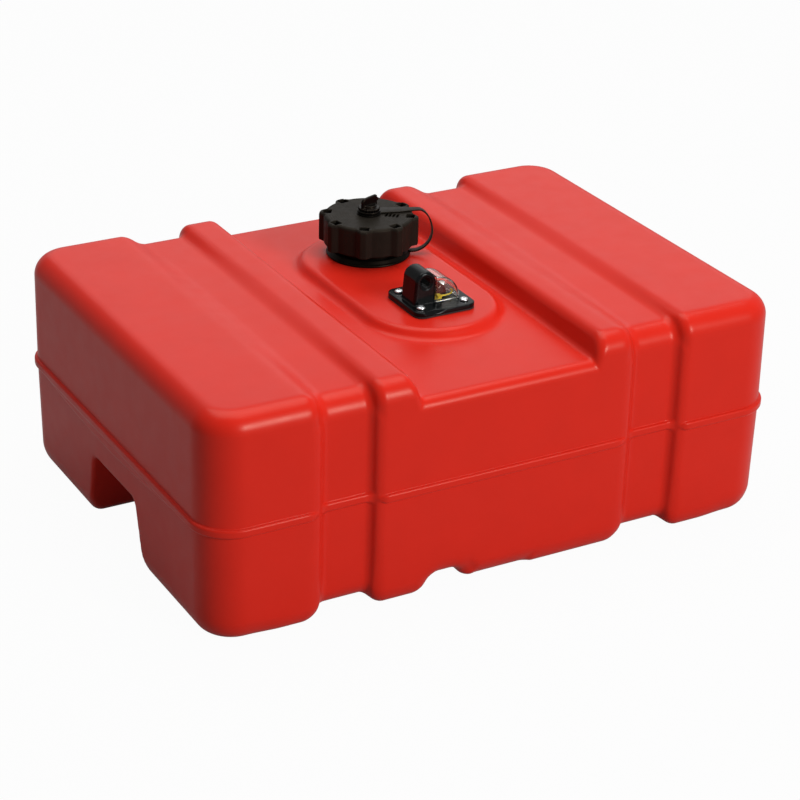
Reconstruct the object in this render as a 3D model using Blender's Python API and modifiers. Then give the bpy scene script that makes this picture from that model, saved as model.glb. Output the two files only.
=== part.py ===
"""Portable outboard fuel tank with a tethered, vented filler cap and a sender unit.

The tank is blow moulded, with strap grooves all round, a sunken middle, a raised pad for its fittings and a
hand-hold under each end. The sender unit holds the fuel outlet, the pickup tube and a float gauge.

Metres, +Z up. The origin is the middle of the footprint, on the floor. +X runs along the length, and the long
front face, which the fuel outlet looks to, is at -Y.
"""
import bmesh
import bpy
from math import acos, cos, pi, radians, sin, sqrt
from mathutils import Matrix, Vector

# Shared clearances and cutting overrun
GAP = 0.0003
OVERRUN = 0.002
WELD = 0.00001

# Tank body
LENGTH = 0.645
WIDTH = 0.466
HEIGHT = 0.2375
WALL = 0.0045
PLAN_RADIUS = 0.040
TOP_EDGE_RADIUS = 0.0215
LOW_EDGE_RADIUS = 0.0165
END_LOW_RADIUS = 0.0225
LOWER_DRAFT_SHARE = 0.0126
UPPER_DRAFT_SHARE = 0.0055

# Parting flange
FLANGE_Z = 0.1205
FLANGE_BAND = 0.011
FLANGE_PROUD = 0.0032
FLANGE_ROOT = 0.002

# Strap grooves, places along the length as shares of it
LEFT_GROOVE_SHARE = -0.2713
RIGHT_GROOVE_SHARE = 0.2605
GROOVE_FLOOR = 0.038
GROOVE_OUTER_SLOPE = 0.0085
GROOVE_INNER_SLOPE = 0.014
GROOVE_DEPTH = 0.009
GROOVE_SIDE_DEPTH = 0.015

# Sunken middle of the top and the channel under the tank
RECESS_SHARE = -0.003
RECESS_FLOOR = 0.190
RECESS_SLOPE = 0.0115
RECESS_DEPTH = 0.0245
RECESS_EDGE_RADIUS = 0.009
CHANNEL_SHARE = -0.1016
CHANNEL_FLOOR = 0.020
CHANNEL_SLOPE = 0.020
CHANNEL_DEPTH = 0.018

# Raised pad under the fittings
PAD_X = 0.008
PAD_FRONT_Y = -0.051
PAD_BACK_Y = 0.077
PAD_RADIUS = 0.0685
PAD_FLANK = 0.0095
PAD_HEIGHT = 0.012
PAD_SHOULDER_SHARE = 0.25
PAD_SHOULDER_DROP_SHARE = 0.2

# Hand-holds, open at the end and below
HOLD_DEPTH = 0.065
HOLD_HEIGHT = 0.077
HOLD_WIDTH = 0.094
HOLD_FLARE = 0.016
HOLD_Y = -0.006
HOLD_RADIUS = 0.008

# Filler neck and its thread
CAP_X = 0.014
CAP_Y = 0.088
NECK_RADIUS = 0.033
NECK_BORE_RADIUS = 0.029
NECK_HEIGHT = 0.0335
THREAD_BEAD = 0.0018
THREAD_PITCH = 0.006
THREAD_TURNS = 2
THREAD_START = 0.016
THREAD_BEAD_SINK = 0.0012
THREAD_REACH = 0.0012

# Tether ring, strap and eye
RING_RADIUS = 0.0465
RING_CLEARANCE = 0.0012
RING_THICKNESS = 0.0065
LUG_LENGTH = 0.0025
STRAP_WIDTH = 0.008
STRAP_THICKNESS = 0.0015
STRAP_ANGLE = radians(-14)
STRAP_SWING = radians(-16)
STRAP_REACH = 0.015
EYE_WIDTH = 0.0042
EYE_THICKNESS = 0.0015

# Cap: lobed outer shell, threaded insert and gasket
LOBES = 8
LOBE_POINTS = 8
LOBE_RADIUS = 0.0525
VALLEY_RADIUS = 0.0482
LOBE_SHARPNESS = 3
LOBE_PHASE = radians(10.5)
SHELL_WALL = 0.0027
SHELL_TOP = 0.0037
SHELL_CLEARANCE = 0.013
SHELL_EDGE = 0.0018
INSERT_WALL = 0.0026
INSERT_TOP = 0.0024
INSERT_FLOAT = 0.0008
INSERT_FLANGE = 0.0032
INSERT_FLANGE_THICKNESS = 0.0022
HOOK_THICKNESS = 0.0024
HOOK_WIDTH = 0.007
HOOK_LAP = 0.002
SLOT_RADIUS = 0.042
SLOT_LENGTH = 0.009
SLOT_WIDTH = 0.0036
GASKET_THICKNESS = 0.0035
GASKET_LIP = 0.003

# Vent bush, knob and seal
BUSH_RADIUS = 0.008
BUSH_COLLAR = 0.0122
BUSH_COLLAR_THICKNESS = 0.0026
BUSH_RIM = 0.0012
BUSH_RIM_THICKNESS = 0.0013
BUSH_FLOOR = 0.0014
VENT_HOLE_RADIUS = 0.0014
STEM_RADIUS = 0.0042
STEM_CLEARANCE = 0.0004
VENT_SEAL_THICKNESS = 0.0016
KNOB_RADIUS = 0.0112
KNOB_DISC = 0.0028
KNOB_HUB_RADIUS = 0.0078
KNOB_HUB_HEIGHT = 0.0026
WING_LENGTH = 0.0195
WING_THICKNESS = 0.0036
WING_HEIGHT = 0.0088
WING_ROUND = 0.003
WING_ANGLE = radians(16)

# Sender plate and its fasteners
PLATE_X = 0.0095
PLATE_Y = -0.0545
PLATE_SIZE = 0.069
PLATE_CORNER = 0.010
PLATE_THICKNESS = 0.0044
PLATE_EDGE = 0.0008
SENDER_GASKET = 0.0015
PORT_RADIUS = 0.0235
SCREW_PITCH_X = 0.0495
SCREW_PITCH_Y = 0.046
SCREW_RADIUS = 0.0021
SCREW_HEAD_RADIUS = 0.0043
SCREW_HEAD_HEIGHT = 0.0027
SCREW_LENGTH = 0.019
SCREW_CLEARANCE = 0.0005
BOSS_RADIUS = 0.0055
BOSS_DEPTH = 0.0175

# Outlet tower on the plate, and the pickup under it
TOWER_X = -0.0055
TOWER_WIDTH = 0.023
TOWER_FLARE = 0.002
TOWER_FRONT = -0.0155
TOWER_LENGTH = 0.028
TOWER_AXIS_HEIGHT = 0.0228
OUTLET_RADIUS = 0.00685
OUTLET_DEPTH = 0.019
PASSAGE_RADIUS = 0.002
SPIGOT_RADIUS = 0.0034
SPIGOT_LENGTH = 0.014
PICKUP_RADIUS = 0.0052
PICKUP_CLEARANCE = 0.008
FILTER_WALL = 0.0018
FILTER_LENGTH = 0.022
FILTER_FLOOR_GAP = 0.003
FILTER_WINDOW = 0.004

# Gauge: lens, dial, pointer, pin, arm and float
PIVOT_X = 0.0025
PIVOT_Y = -0.006
PIVOT_DEPTH = 0.002
PIN_RADIUS = 0.0009
PIN_SEAT = 0.0033
HUB_RADIUS = 0.003
HUB_LENGTH = 0.006
GAUGE_SLOT_LEFT = 0.0038
GAUGE_SLOT_RIGHT = 0.0058
LENS_RADIUS = 0.027
LENS_WALL = 0.0018
LENS_DEPTH = 0.025
DIAL_DEPTH = 0.0095
DIAL_CLEARANCE = 0.0015
POINTER_RADIUS = 0.0008
POINTER_LIFT = 0.0016
POINTER_BLOCK_START = 0.0005
POINTER_BLOCK = 0.004
POINTER_REACH = 0.018
POINTER_SHARES = ((0.13, 0), (0.55, -0.01), (0.80, 0), (0.94, 0.06), (1, 0.16), (0.96, 0.25), (0.86, 0.28))
DIAL_SHARES = ((0.76, 0), (0.76, 0.20), (0.62, 0.46), (0.40, 0.66), (0, 0.78))
ARM_RADIUS = 0.0012
ARM_BEND_RADIUS = 0.030
FLOAT_FLOOR_CLEARANCE = 0.0129
ARM_EMPTY_ANGLE = radians(-76)
ARM_BEND_LEAD = radians(28)
ARM_TURN = 0.0048
ARM_TURN_SHARE = 0.3
FLOAT_RADIUS = 0.018
FLOAT_LENGTH = 0.050
FLOAT_SIDE = 0.006
FLOAT_EDGE = 0.004
CLIP_RADIUS = 0.004
CLIP_THICKNESS = 0.001
ARM_TAIL = 0.0015

# Facet counts
ROUND_SEGMENTS = 48
SMALL_SEGMENTS = 20
CORNER_STEPS = 4
END_STEPS = 6
RAMP_STEPS = 3

# Levels and places worked out from the sizes above
BODY_HALF_LENGTH = LENGTH / 2 - FLANGE_PROUD
BODY_HALF_WIDTH = WIDTH / 2 - FLANGE_PROUD
RECESS_Z = HEIGHT - RECESS_DEPTH
PAD_Z = RECESS_Z + PAD_HEIGHT
NECK_TOP = PAD_Z + NECK_HEIGHT
GASKET_LOW = NECK_TOP + GAP
GASKET_HIGH = GASKET_LOW + GASKET_THICKNESS
INSERT_LOW_FACE = GASKET_HIGH + GAP
INSERT_HIGH_FACE = INSERT_LOW_FACE + INSERT_TOP
SHELL_LOW_FACE = INSERT_HIGH_FACE + GAP
CAP_TOP = SHELL_LOW_FACE + SHELL_TOP
SKIRT_LOW = PAD_Z + SHELL_CLEARANCE
HOOK_HIGH = SKIRT_LOW + HOOK_THICKNESS
THREAD_CREST = NECK_RADIUS + THREAD_BEAD * 2 - THREAD_BEAD_SINK
INSERT_BORE = THREAD_CREST + THREAD_BEAD * 2 - THREAD_BEAD_SINK - THREAD_REACH + INSERT_FLOAT
INSERT_RADIUS = INSERT_BORE + INSERT_WALL
INSERT_FLANGE_RADIUS = INSERT_RADIUS + INSERT_FLANGE
EYE_LOW = CAP_TOP + GAP
EYE_HIGH = EYE_LOW + EYE_THICKNESS
COLLAR_LOW = EYE_HIGH + GAP
COLLAR_HIGH = COLLAR_LOW + BUSH_COLLAR_THICKNESS
KNOB_LOW = COLLAR_HIGH + GAP
BUSH_RIM_HIGH = INSERT_LOW_FACE - GAP
BUSH_RIM_LOW = BUSH_RIM_HIGH - BUSH_RIM_THICKNESS
BUSH_LOW = BUSH_RIM_LOW - BUSH_FLOOR
SEAL_LOW = BUSH_LOW + BUSH_FLOOR + GAP
SEAL_HIGH = SEAL_LOW + VENT_SEAL_THICKNESS
SENDER_GASKET_LOW = PAD_Z + GAP
PLATE_LOW = SENDER_GASKET_LOW + SENDER_GASKET + GAP
PLATE_HIGH = PLATE_LOW + PLATE_THICKNESS
TOWER_AXIS_Z = PLATE_HIGH + TOWER_AXIS_HEIGHT
TOWER_RIGHT = TOWER_X + TOWER_WIDTH / 2
TOWER_FRONT_Y = PLATE_Y + TOWER_FRONT
LENS_LEFT = TOWER_RIGHT + GAP
LENS_LOW = PLATE_HIGH + GAP
PIVOT = Vector((PLATE_X + PIVOT_X, PLATE_Y + PIVOT_Y, PLATE_HIGH - PIVOT_DEPTH))
ARM_REACH = (PIVOT.z - WALL - FLOAT_FLOOR_CLEARANCE - FLOAT_RADIUS) / sin(-ARM_EMPTY_ANGLE)

CAP_AXIS = Vector((CAP_X, CAP_Y, 0))


def clear_scene():
    for thing in list(bpy.data.objects):
        bpy.data.objects.remove(thing, do_unlink=True)
    for group in list(bpy.data.collections):
        bpy.data.collections.remove(group)


clear_scene()
PARTS = bpy.data.collections.new("outboard_fuel_tank")
CUTTERS = bpy.data.collections.new("cutters_and_guides")
bpy.context.scene.collection.children.link(PARTS)
bpy.context.scene.collection.children.link(CUTTERS)


def material(name, colour, roughness, metallic=0.0, alpha=1.0):
    """A plain Principled material."""
    made = bpy.data.materials.new(name)
    made.use_nodes = True
    shader = made.node_tree.nodes["Principled BSDF"]
    shader.inputs["Base Color"].default_value = (*colour, 1.0)
    shader.inputs["Roughness"].default_value = roughness
    shader.inputs["Metallic"].default_value = metallic
    shader.inputs["Alpha"].default_value = alpha
    made.diffuse_color = (*colour, alpha)
    return made


def place(thing, surface=None):
    """Put an object among the parts, or among the cutters when it has no material."""
    if surface is None:
        CUTTERS.objects.link(thing)
        thing.hide_render = True
        thing.display_type = "WIRE"
    else:
        PARTS.objects.link(thing)
        thing.data.materials.append(surface)
    return thing


def from_bmesh(name, shape, surface=None, smooth=False):
    bmesh.ops.recalc_face_normals(shape, faces=shape.faces)
    mesh = bpy.data.meshes.new(name)
    shape.to_mesh(mesh)
    shape.free()
    if smooth:
        mesh.shade_smooth()
        mesh.set_sharp_from_angle(angle=radians(35))
    return place(bpy.data.objects.new(name, mesh), surface)


def box(name, low, high, surface=None, bevel=0.0, steps=2):
    """A box between two corners, with its edges rounded when bevel is given."""
    low, high = Vector(low), Vector(high)
    shape = bmesh.new()
    bmesh.ops.create_cube(shape, size=1.0)
    bmesh.ops.scale(shape, vec=high - low, verts=shape.verts)
    bmesh.ops.translate(shape, vec=(low + high) / 2, verts=shape.verts)
    made = from_bmesh(name, shape, surface)
    if bevel:
        add_bevel(made, bevel, steps)
    return made


def blocks(name, entries):
    """Several boxes in one guide mesh: each entry is a size, a centre and a turn about Z at that centre."""
    shape = bmesh.new()
    for size, centre, turn in entries:
        spot = Matrix.Translation(centre) @ Matrix.Rotation(turn, 4, "Z") @ Matrix.Diagonal((*size, 1))
        bmesh.ops.create_cube(shape, size=1.0, matrix=spot)
    return from_bmesh(name, shape)


def rods(name, radius, low, high, spots, segments=SMALL_SEGMENTS):
    """Upright cylinders in one guide mesh."""
    shape = bmesh.new()
    for spot in spots:
        middle = Matrix.Translation((spot[0], spot[1], (low + high) / 2))
        bmesh.ops.create_cone(shape, cap_ends=True, segments=segments, radius1=radius, radius2=radius,
                              depth=high - low, matrix=middle)
    return from_bmesh(name, shape)


def rod_y(name, radius, start, end, x, z, surface=None, segments=SMALL_SEGMENTS, bevel=0.0):
    """A cylinder along Y, between two values of y."""
    shape = bmesh.new()
    middle = Matrix.Translation((x, (start + end) / 2, z)) @ Matrix.Rotation(pi / 2, 4, "X")
    bmesh.ops.create_cone(shape, cap_ends=True, segments=segments, radius1=radius, radius2=radius,
                          depth=end - start, matrix=middle)
    made = from_bmesh(name, shape, surface, smooth=True)
    if bevel:
        add_bevel(made, bevel, CORNER_STEPS // 2)
    return made


def turned(name, profile, surface=None, segments=ROUND_SEGMENTS, solid=False):
    """A turned shape from (radius, height), down its outer side: a closed loop, or open from axis to axis."""
    mesh = bpy.data.meshes.new(name)
    count = len(profile)
    points = [(radius, 0, height) for radius, height in profile]
    edges = [(index, (index + 1) % count) for index in range(count - 1 if solid else count)]
    mesh.from_pydata(points, edges, [])
    made = place(bpy.data.objects.new(name, mesh), surface)
    screw = made.modifiers.new("Turn", "SCREW")
    screw.axis = "Z"
    screw.angle = 2 * pi
    screw.steps = segments
    screw.render_steps = segments
    screw.use_merge_vertices = True
    screw.merge_threshold = WELD
    screw.use_smooth_shade = True
    return made


def turned_solid(name, profile, surface=None, segments=ROUND_SEGMENTS):
    return turned(name, profile, surface, segments, solid=True)


def loft(name, rings, surface=None):
    """A closed solid through rings of points, all with the same count, with a flat face on each end."""
    shape = bmesh.new()
    rows = [[shape.verts.new(point) for point in ring] for ring in rings]
    count = len(rows[0])
    for near, far in zip(rows, rows[1:]):
        for index in range(count):
            after = (index + 1) % count
            shape.faces.new((near[index], near[after], far[after], far[index]))
    shape.faces.new(rows[0])
    shape.faces.new(rows[-1])
    bmesh.ops.remove_doubles(shape, verts=shape.verts, dist=WELD)
    return from_bmesh(name, shape, surface)


def as_mesh(thing, name, surface=None):
    """A curve made a mesh object with its caps welded; the curve is removed."""
    bpy.context.view_layer.update()
    ready = thing.evaluated_get(bpy.context.evaluated_depsgraph_get())
    mesh = bpy.data.meshes.new_from_object(ready)
    shape = bmesh.new()
    shape.from_mesh(mesh)
    bmesh.ops.remove_doubles(shape, verts=shape.verts, dist=WELD)
    bmesh.ops.transform(shape, matrix=thing.matrix_world, verts=shape.verts)
    bpy.data.objects.remove(thing, do_unlink=True)
    mesh.materials.clear()
    return from_bmesh(name, shape, surface, smooth=True)


def wire(name, points, radius, surface=None, resolution=2):
    """A round wire through points, with filled ends."""
    curve = bpy.data.curves.new(name + "_path", "CURVE")
    curve.dimensions = "3D"
    curve.bevel_depth = radius
    curve.bevel_resolution = resolution
    curve.use_fill_caps = True
    spline = curve.splines.new("POLY")
    spline.points.add(len(points) - 1)
    for spot, point in zip(spline.points, points):
        spot.co = (*point, 1)
    path = bpy.data.objects.new(name + "_path", curve)
    CUTTERS.objects.link(path)
    return as_mesh(path, name, surface)


def flat(name, outline, low, high, surface=None, upright=False):
    """A flat outline given thickness: low to high in z, or in y when upright and the outline is in XZ."""
    curve = bpy.data.curves.new(name + "_outline", "CURVE")
    curve.dimensions = "2D"
    curve.fill_mode = "BOTH"
    curve.extrude = (high - low) / 2
    spline = curve.splines.new("POLY")
    spline.points.add(len(outline) - 1)
    for spot, point in zip(spline.points, outline):
        spot.co = (*point, 0, 1)
    spline.use_cyclic_u = True
    path = bpy.data.objects.new(name + "_outline", curve)
    CUTTERS.objects.link(path)
    if upright:
        path.rotation_euler = (pi / 2, 0, 0)
        path.location = (0, (low + high) / 2, 0)
    else:
        path.location = (0, 0, (low + high) / 2)
    return as_mesh(path, name, surface)


def add_bevel(thing, width, steps=2, angle=radians(40)):
    rounding = thing.modifiers.new("Round edges", "BEVEL")
    rounding.width = width
    rounding.segments = steps
    rounding.limit_method = "ANGLE"
    rounding.angle_limit = angle
    return rounding


def boolean(thing, tool, operation):
    step = thing.modifiers.new(operation.title() + " " + tool.name, "BOOLEAN")
    step.operation = operation
    step.solver = "EXACT"
    step.object = tool


def cut(thing, *tools):
    for tool in tools:
        boolean(thing, tool, "DIFFERENCE")


def join(thing, *tools):
    for tool in tools:
        boolean(thing, tool, "UNION")


def weld(thing):
    """Merge the points that a join leaves almost on top of each other."""
    merge = thing.modifiers.new("Weld", "WELD")
    merge.merge_threshold = WELD


def move(thing, offset):
    thing.location = Vector(offset)
    return thing


def arc(centre, radius, start, end, steps):
    return [(centre[0] + radius * cos(start + (end - start) * step / steps),
             centre[1] + radius * sin(start + (end - start) * step / steps)) for step in range(steps + 1)]


def rounded_rectangle(centre, width, height, radius, steps=CORNER_STEPS):
    """Corner points of a rounded rectangle, anticlockwise."""
    half_x, half_y = width / 2 - radius, height / 2 - radius
    outline = []
    for turn, (side_x, side_y) in enumerate(((1, 1), (-1, 1), (-1, -1), (1, -1))):
        corner = (centre[0] + side_x * half_x, centre[1] + side_y * half_y)
        outline += arc(corner, radius, turn * pi / 2, (turn + 1) * pi / 2, steps)
    return outline


def helix(radius, low, turns, per_turn=24):
    """Points of the thread's right-hand helix about the cap's axis."""
    count = int(turns * per_turn)
    return [(radius * cos(2 * pi * step / per_turn), radius * sin(2 * pi * step / per_turn),
             low + THREAD_PITCH * step / per_turn) for step in range(count + 1)]


def ease(value):
    value = min(max(value, 0.0), 1.0)
    return value * value * (3 - 2 * value)


def dip(x, middle, floor, left_slope, right_slope):
    """1 over a groove's floor, 0 outside its mouth, and a soft slope on each side."""
    past = max(middle - floor / 2 - x, 0) / left_slope + max(x - middle - floor / 2, 0) / right_slope
    return 1 - ease(past)


def round_off(distance, radius):
    """How far a rounded edge has drawn in, at a distance past where its rounding starts."""
    reach = min(max(distance, 0.0), radius)
    return radius - sqrt(radius * radius - reach * reach)


def grooves_along(inset=0.0):
    """Middle, floor and both slopes of the two strap grooves, the sunken middle and the channel."""
    grow = inset * 2
    left = (LEFT_GROOVE_SHARE * LENGTH, GROOVE_FLOOR + grow, GROOVE_OUTER_SLOPE, GROOVE_INNER_SLOPE)
    right = (RIGHT_GROOVE_SHARE * LENGTH, GROOVE_FLOOR + grow, GROOVE_INNER_SLOPE, GROOVE_OUTER_SLOPE)
    recess = (RECESS_SHARE * LENGTH, RECESS_FLOOR + grow, RECESS_SLOPE, RECESS_SLOPE)
    channel = (CHANNEL_SHARE * LENGTH, CHANNEL_FLOOR + grow, CHANNEL_SLOPE, CHANNEL_SLOPE)
    return left, right, recess, channel


def low_edge_radius(x):
    """The bottom's edge is rounder at the ends and under the middle foot than under the other feet."""
    start = CHANNEL_SHARE * LENGTH + CHANNEL_FLOOR / 2 + CHANNEL_SLOPE
    end = RIGHT_GROOVE_SHARE * LENGTH - GROOVE_FLOOR / 2 - GROOVE_INNER_SLOPE
    foot = dip(x, (start + end) / 2, end - start, CHANNEL_SLOPE, GROOVE_INNER_SLOPE)
    near_end = 1 - ease((BODY_HALF_LENGTH - abs(x)) / PLAN_RADIUS - 1)
    return LOW_EDGE_RADIUS + (END_LOW_RADIUS - LOW_EDGE_RADIUS) * max(foot, near_end)


def tank_extents(x, inset=0.0):
    """Half width, bottom, top and both edge radii of the tank's body at x, drawn in by inset."""
    left, right, sunk, channel = (dip(x, *entry) for entry in grooves_along(inset))
    grooves = left + right
    half = BODY_HALF_WIDTH - inset - GROOVE_SIDE_DEPTH * grooves
    low = inset + GROOVE_DEPTH * grooves + CHANNEL_DEPTH * channel
    high = HEIGHT - inset - GROOVE_DEPTH * grooves - RECESS_DEPTH * sunk
    top_edge = TOP_EDGE_RADIUS + (RECESS_EDGE_RADIUS - TOP_EDGE_RADIUS) * sunk
    low_edge = low_edge_radius(x)
    return half, low, high, low_edge * (1 - inset / LOW_EDGE_RADIUS), top_edge * (1 - inset / TOP_EDGE_RADIUS)


def rounded_edge(half, radius, to_end, corner, steps):
    """Points (half width, height over the flat face) of a long edge, which the end and the corner draw in."""
    start = acos(1 - round_off(radius - to_end, radius) / radius)
    points = []
    for step in range(steps + 1):
        angle = start + (pi / 2 - start) * step / steps
        inward = radius * (1 - sin(angle))
        bend = corner - inward
        drawn = inward + round_off(bend - to_end + inward, bend)
        points.append((half - drawn, radius * (1 - cos(angle))))
    return points


def tank_section(x, inset=0.0, steps=CORNER_STEPS):
    """One ring of the tank's loft, with the mould's draft away from the flange on all four sides."""
    half, low, high, low_edge, top_edge = tank_extents(x, inset)
    to_end = max(BODY_HALF_LENGTH - inset - abs(x), 0)
    corner = PLAN_RADIUS - inset
    under = [(y, low + rise) for y, rise in rounded_edge(half, low_edge, to_end, corner, steps)]
    over = [(y, high - rise) for y, rise in rounded_edge(half, top_edge, to_end, corner, steps)]
    ring = under + over[::-1] + [(-y, z) for y, z in over] + [(-y, z) for y, z in under[::-1]]
    section = []
    for y, z in ring:
        drop = abs(z - FLANGE_Z) * (LOWER_DRAFT_SHARE if z < FLANGE_Z else UPPER_DRAFT_SHARE)
        section.append((x * (1 - drop / BODY_HALF_LENGTH), y * (1 - drop / BODY_HALF_WIDTH), z))
    return section


def tank_stations(inset=0.0, steps=RAMP_STEPS, end_steps=END_STEPS):
    """Where the loft needs a section: the slopes of each groove and the rounding of both ends."""
    places = {0.0}
    for middle, floor, left_slope, right_slope in grooves_along(inset):
        for step in range(steps + 1):
            places.add(middle - floor / 2 - left_slope * step / steps)
            places.add(middle + floor / 2 + right_slope * step / steps)
    for side in (-1, 1):
        for step in range(end_steps + 1):
            turn = pi / 2 * step / end_steps
            places.add(side * (BODY_HALF_LENGTH - PLAN_RADIUS + (PLAN_RADIUS - inset) * sin(turn)))
    return sorted(places)


def flange_ring(grow, z):
    """The outline of the parting flange at one level, standing out from the body by grow."""
    reach = (BODY_HALF_LENGTH + grow) / BODY_HALF_LENGTH
    front, back = [], []
    for x in tank_stations(steps=2):
        half = tank_extents(x)[0] - round_off(PLAN_RADIUS - BODY_HALF_LENGTH + abs(x), PLAN_RADIUS) + grow
        front.append((x * reach, -half, z))
        back.append((x * reach, half, z))
    return front + back[::-1]


def stadium(grow, z, steps=10):
    """The raised pad's outline at one level."""
    radius = PAD_RADIUS + grow
    points = arc((PAD_X, PAD_BACK_Y), radius, 0, pi, steps) + arc((PAD_X, PAD_FRONT_Y), radius, pi, 2 * pi, steps)
    return [(x, y, z) for x, y in points]


def hand_hold(name, side, grow=0.0):
    """The cutter of one hand-hold: it narrows upwards and runs out past the end and below the floor."""
    below = -HOLD_RADIUS - OVERRUN
    outer = BODY_HALF_LENGTH + HOLD_RADIUS + OVERRUN + FLANGE_PROUD
    inner = BODY_HALF_LENGTH - HOLD_DEPTH - grow
    rings = []
    for z in (below, HOLD_HEIGHT + grow):
        half = HOLD_WIDTH / 2 + grow + HOLD_FLARE * (1 - z / HOLD_HEIGHT) * (z < HOLD_HEIGHT)
        rings.append([(side * outer, HOLD_Y - half, z), (side * outer, HOLD_Y + half, z),
                      (side * inner, HOLD_Y + half, z), (side * inner, HOLD_Y - half, z)])
    made = loft(name, rings)
    add_bevel(made, HOLD_RADIUS, 2, angle=radians(50))
    return made


RED = material("red_polyethylene", (0.56, 0.045, 0.032), 0.42)
CAP_BLACK = material("cap_polypropylene", (0.040, 0.036, 0.032), 0.5)
RUBBER = material("nitrile_rubber", (0.018, 0.018, 0.018), 0.7)
PLATE_BLACK = material("black_acetal", (0.012, 0.014, 0.014), 0.25)
ZINC = material("zinc_plated_steel", (0.62, 0.63, 0.64), 0.28, metallic=1.0)
CLEAR = material("clear_acrylic", (0.9, 0.9, 0.9), 0.05, alpha=0.3)
YELLOW = material("yellow_acetal", (0.72, 0.50, 0.03), 0.45)
STEEL = material("stainless_wire", (0.55, 0.55, 0.55), 0.3, metallic=1.0)
BRASS = material("brass", (0.55, 0.38, 0.14), 0.35, metallic=1.0)
FLOAT_BLACK = material("closed_cell_nitrile", (0.03, 0.03, 0.03), 0.85)
NATURAL = material("natural_nylon", (0.62, 0.60, 0.52), 0.5)


def own(surface, name):
    """A copy of a material, so that each piece has its own."""
    copied = surface.copy()
    copied.name = name
    return copied


def screw_spots():
    return [(PLATE_X + side_x * SCREW_PITCH_X / 2, PLATE_Y + side_y * SCREW_PITCH_Y / 2)
            for side_x, side_y in ((-1, 1), (-1, -1), (1, -1), (1, 1))]


def make_tank():
    tank = loft("tank_shell", [tank_section(x) for x in tank_stations()], own(RED, "tank_red"))
    band = FLANGE_BAND / 2
    flange = loft("flange_band", [flange_ring(-FLANGE_ROOT, FLANGE_Z - band),
                                  flange_ring(FLANGE_PROUD, FLANGE_Z - band + FLANGE_PROUD),
                                  flange_ring(FLANGE_PROUD, FLANGE_Z + band - FLANGE_PROUD),
                                  flange_ring(-FLANGE_ROOT, FLANGE_Z + band)])
    pad = loft("pad_solid", [stadium(PAD_FLANK, RECESS_Z - OVERRUN), stadium(PAD_FLANK, RECESS_Z),
                             stadium(PAD_FLANK * PAD_SHOULDER_SHARE, PAD_Z - PAD_HEIGHT * PAD_SHOULDER_DROP_SHARE),
                             stadium(0, PAD_Z)])
    neck = rods("neck_solid", NECK_RADIUS, PAD_Z - OVERRUN, NECK_TOP, [(CAP_X, CAP_Y)], ROUND_SEGMENTS)
    join(tank, flange)
    weld(tank)
    join(tank, pad, neck)

    inside = loft("inside_space", [tank_section(x, WALL, 3) for x in tank_stations(WALL, 1, 3)])
    pad_inside = loft("pad_inside", [stadium(PAD_FLANK - WALL, RECESS_Z - WALL - OVERRUN),
                                     stadium(-WALL, PAD_Z - WALL)])
    join(inside, pad_inside)
    for side, label in ((-1, "left"), (1, "right")):
        cut(inside, hand_hold("hold_wall_" + label, side, WALL))
    cut(tank, inside)
    bosses = rods("screw_bosses", BOSS_RADIUS, PAD_Z - BOSS_DEPTH - WALL, PAD_Z - OVERRUN, screw_spots(), 12)
    join(tank, bosses)

    for side, label in ((-1, "left"), (1, "right")):
        cut(tank, hand_hold("hold_" + label, side))
    bore = rods("neck_bore", NECK_BORE_RADIUS, PAD_Z - WALL - OVERRUN, NECK_TOP + OVERRUN,
                [(CAP_X, CAP_Y)], ROUND_SEGMENTS)
    port = rods("sender_port", PORT_RADIUS, PAD_Z - WALL - OVERRUN, PAD_Z + OVERRUN,
                [(PLATE_X, PLATE_Y)], ROUND_SEGMENTS // 2)
    pilots = rods("screw_pilots", SCREW_RADIUS + GAP, PAD_Z - BOSS_DEPTH, PAD_Z + OVERRUN, screw_spots(), 12)
    cut(tank, bore, port, pilots)

    middle = NECK_RADIUS + THREAD_BEAD - THREAD_BEAD_SINK
    thread = wire("neck_thread", helix(middle, PAD_Z + THREAD_START, THREAD_TURNS), THREAD_BEAD)
    move(thread, CAP_AXIS)
    join(tank, thread)
    return tank


def strap_path():
    """The tether's middle line: out over the cap, down past its edge and back to the ring below."""
    start = BUSH_RADIUS + GAP + EYE_WIDTH + GAP
    top = EYE_LOW + EYE_THICKNESS / 2
    edge = LOBE_RADIUS
    low = PAD_Z + GAP + RING_THICKNESS / 2
    ring = RING_RADIUS + LUG_LENGTH + GAP
    height = top - low
    out = edge + STRAP_REACH
    path = [(start, top, 0.0), ((start + edge) / 2, top, 0.0), (edge, top, 0.0)]
    for step in range(1, 9):
        turn = pi / 2 - pi * step / 9
        path.append((edge + (out - edge) * cos(turn), low + height / 2 + height / 2 * sin(turn), step / 9))
    path += [((edge + ring) / 2, low, 1.0), (ring, low, 1.0)]
    points = []
    for radius, z, share in path:
        heading = STRAP_ANGLE + STRAP_SWING * ease(share)
        points.append((Vector((radius * cos(heading), radius * sin(heading), z)), heading))
    return points


def band(name, path, width, thickness, surface):
    """A flat band along a path, its width level and square to each point's heading."""
    rings = []
    for index, (spot, heading) in enumerate(path):
        before = path[max(index - 1, 0)][0]
        after = path[min(index + 1, len(path) - 1)][0]
        across = Vector((-sin(heading), cos(heading), 0))
        along = (after - before).normalized()
        up = along.cross(across).normalized()
        across, up = across * width / 2, up * thickness / 2
        rings.append([spot + CAP_AXIS + corner for corner in (across + up, up - across, -across - up, across - up)])
    return loft(name, rings, surface)


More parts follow.
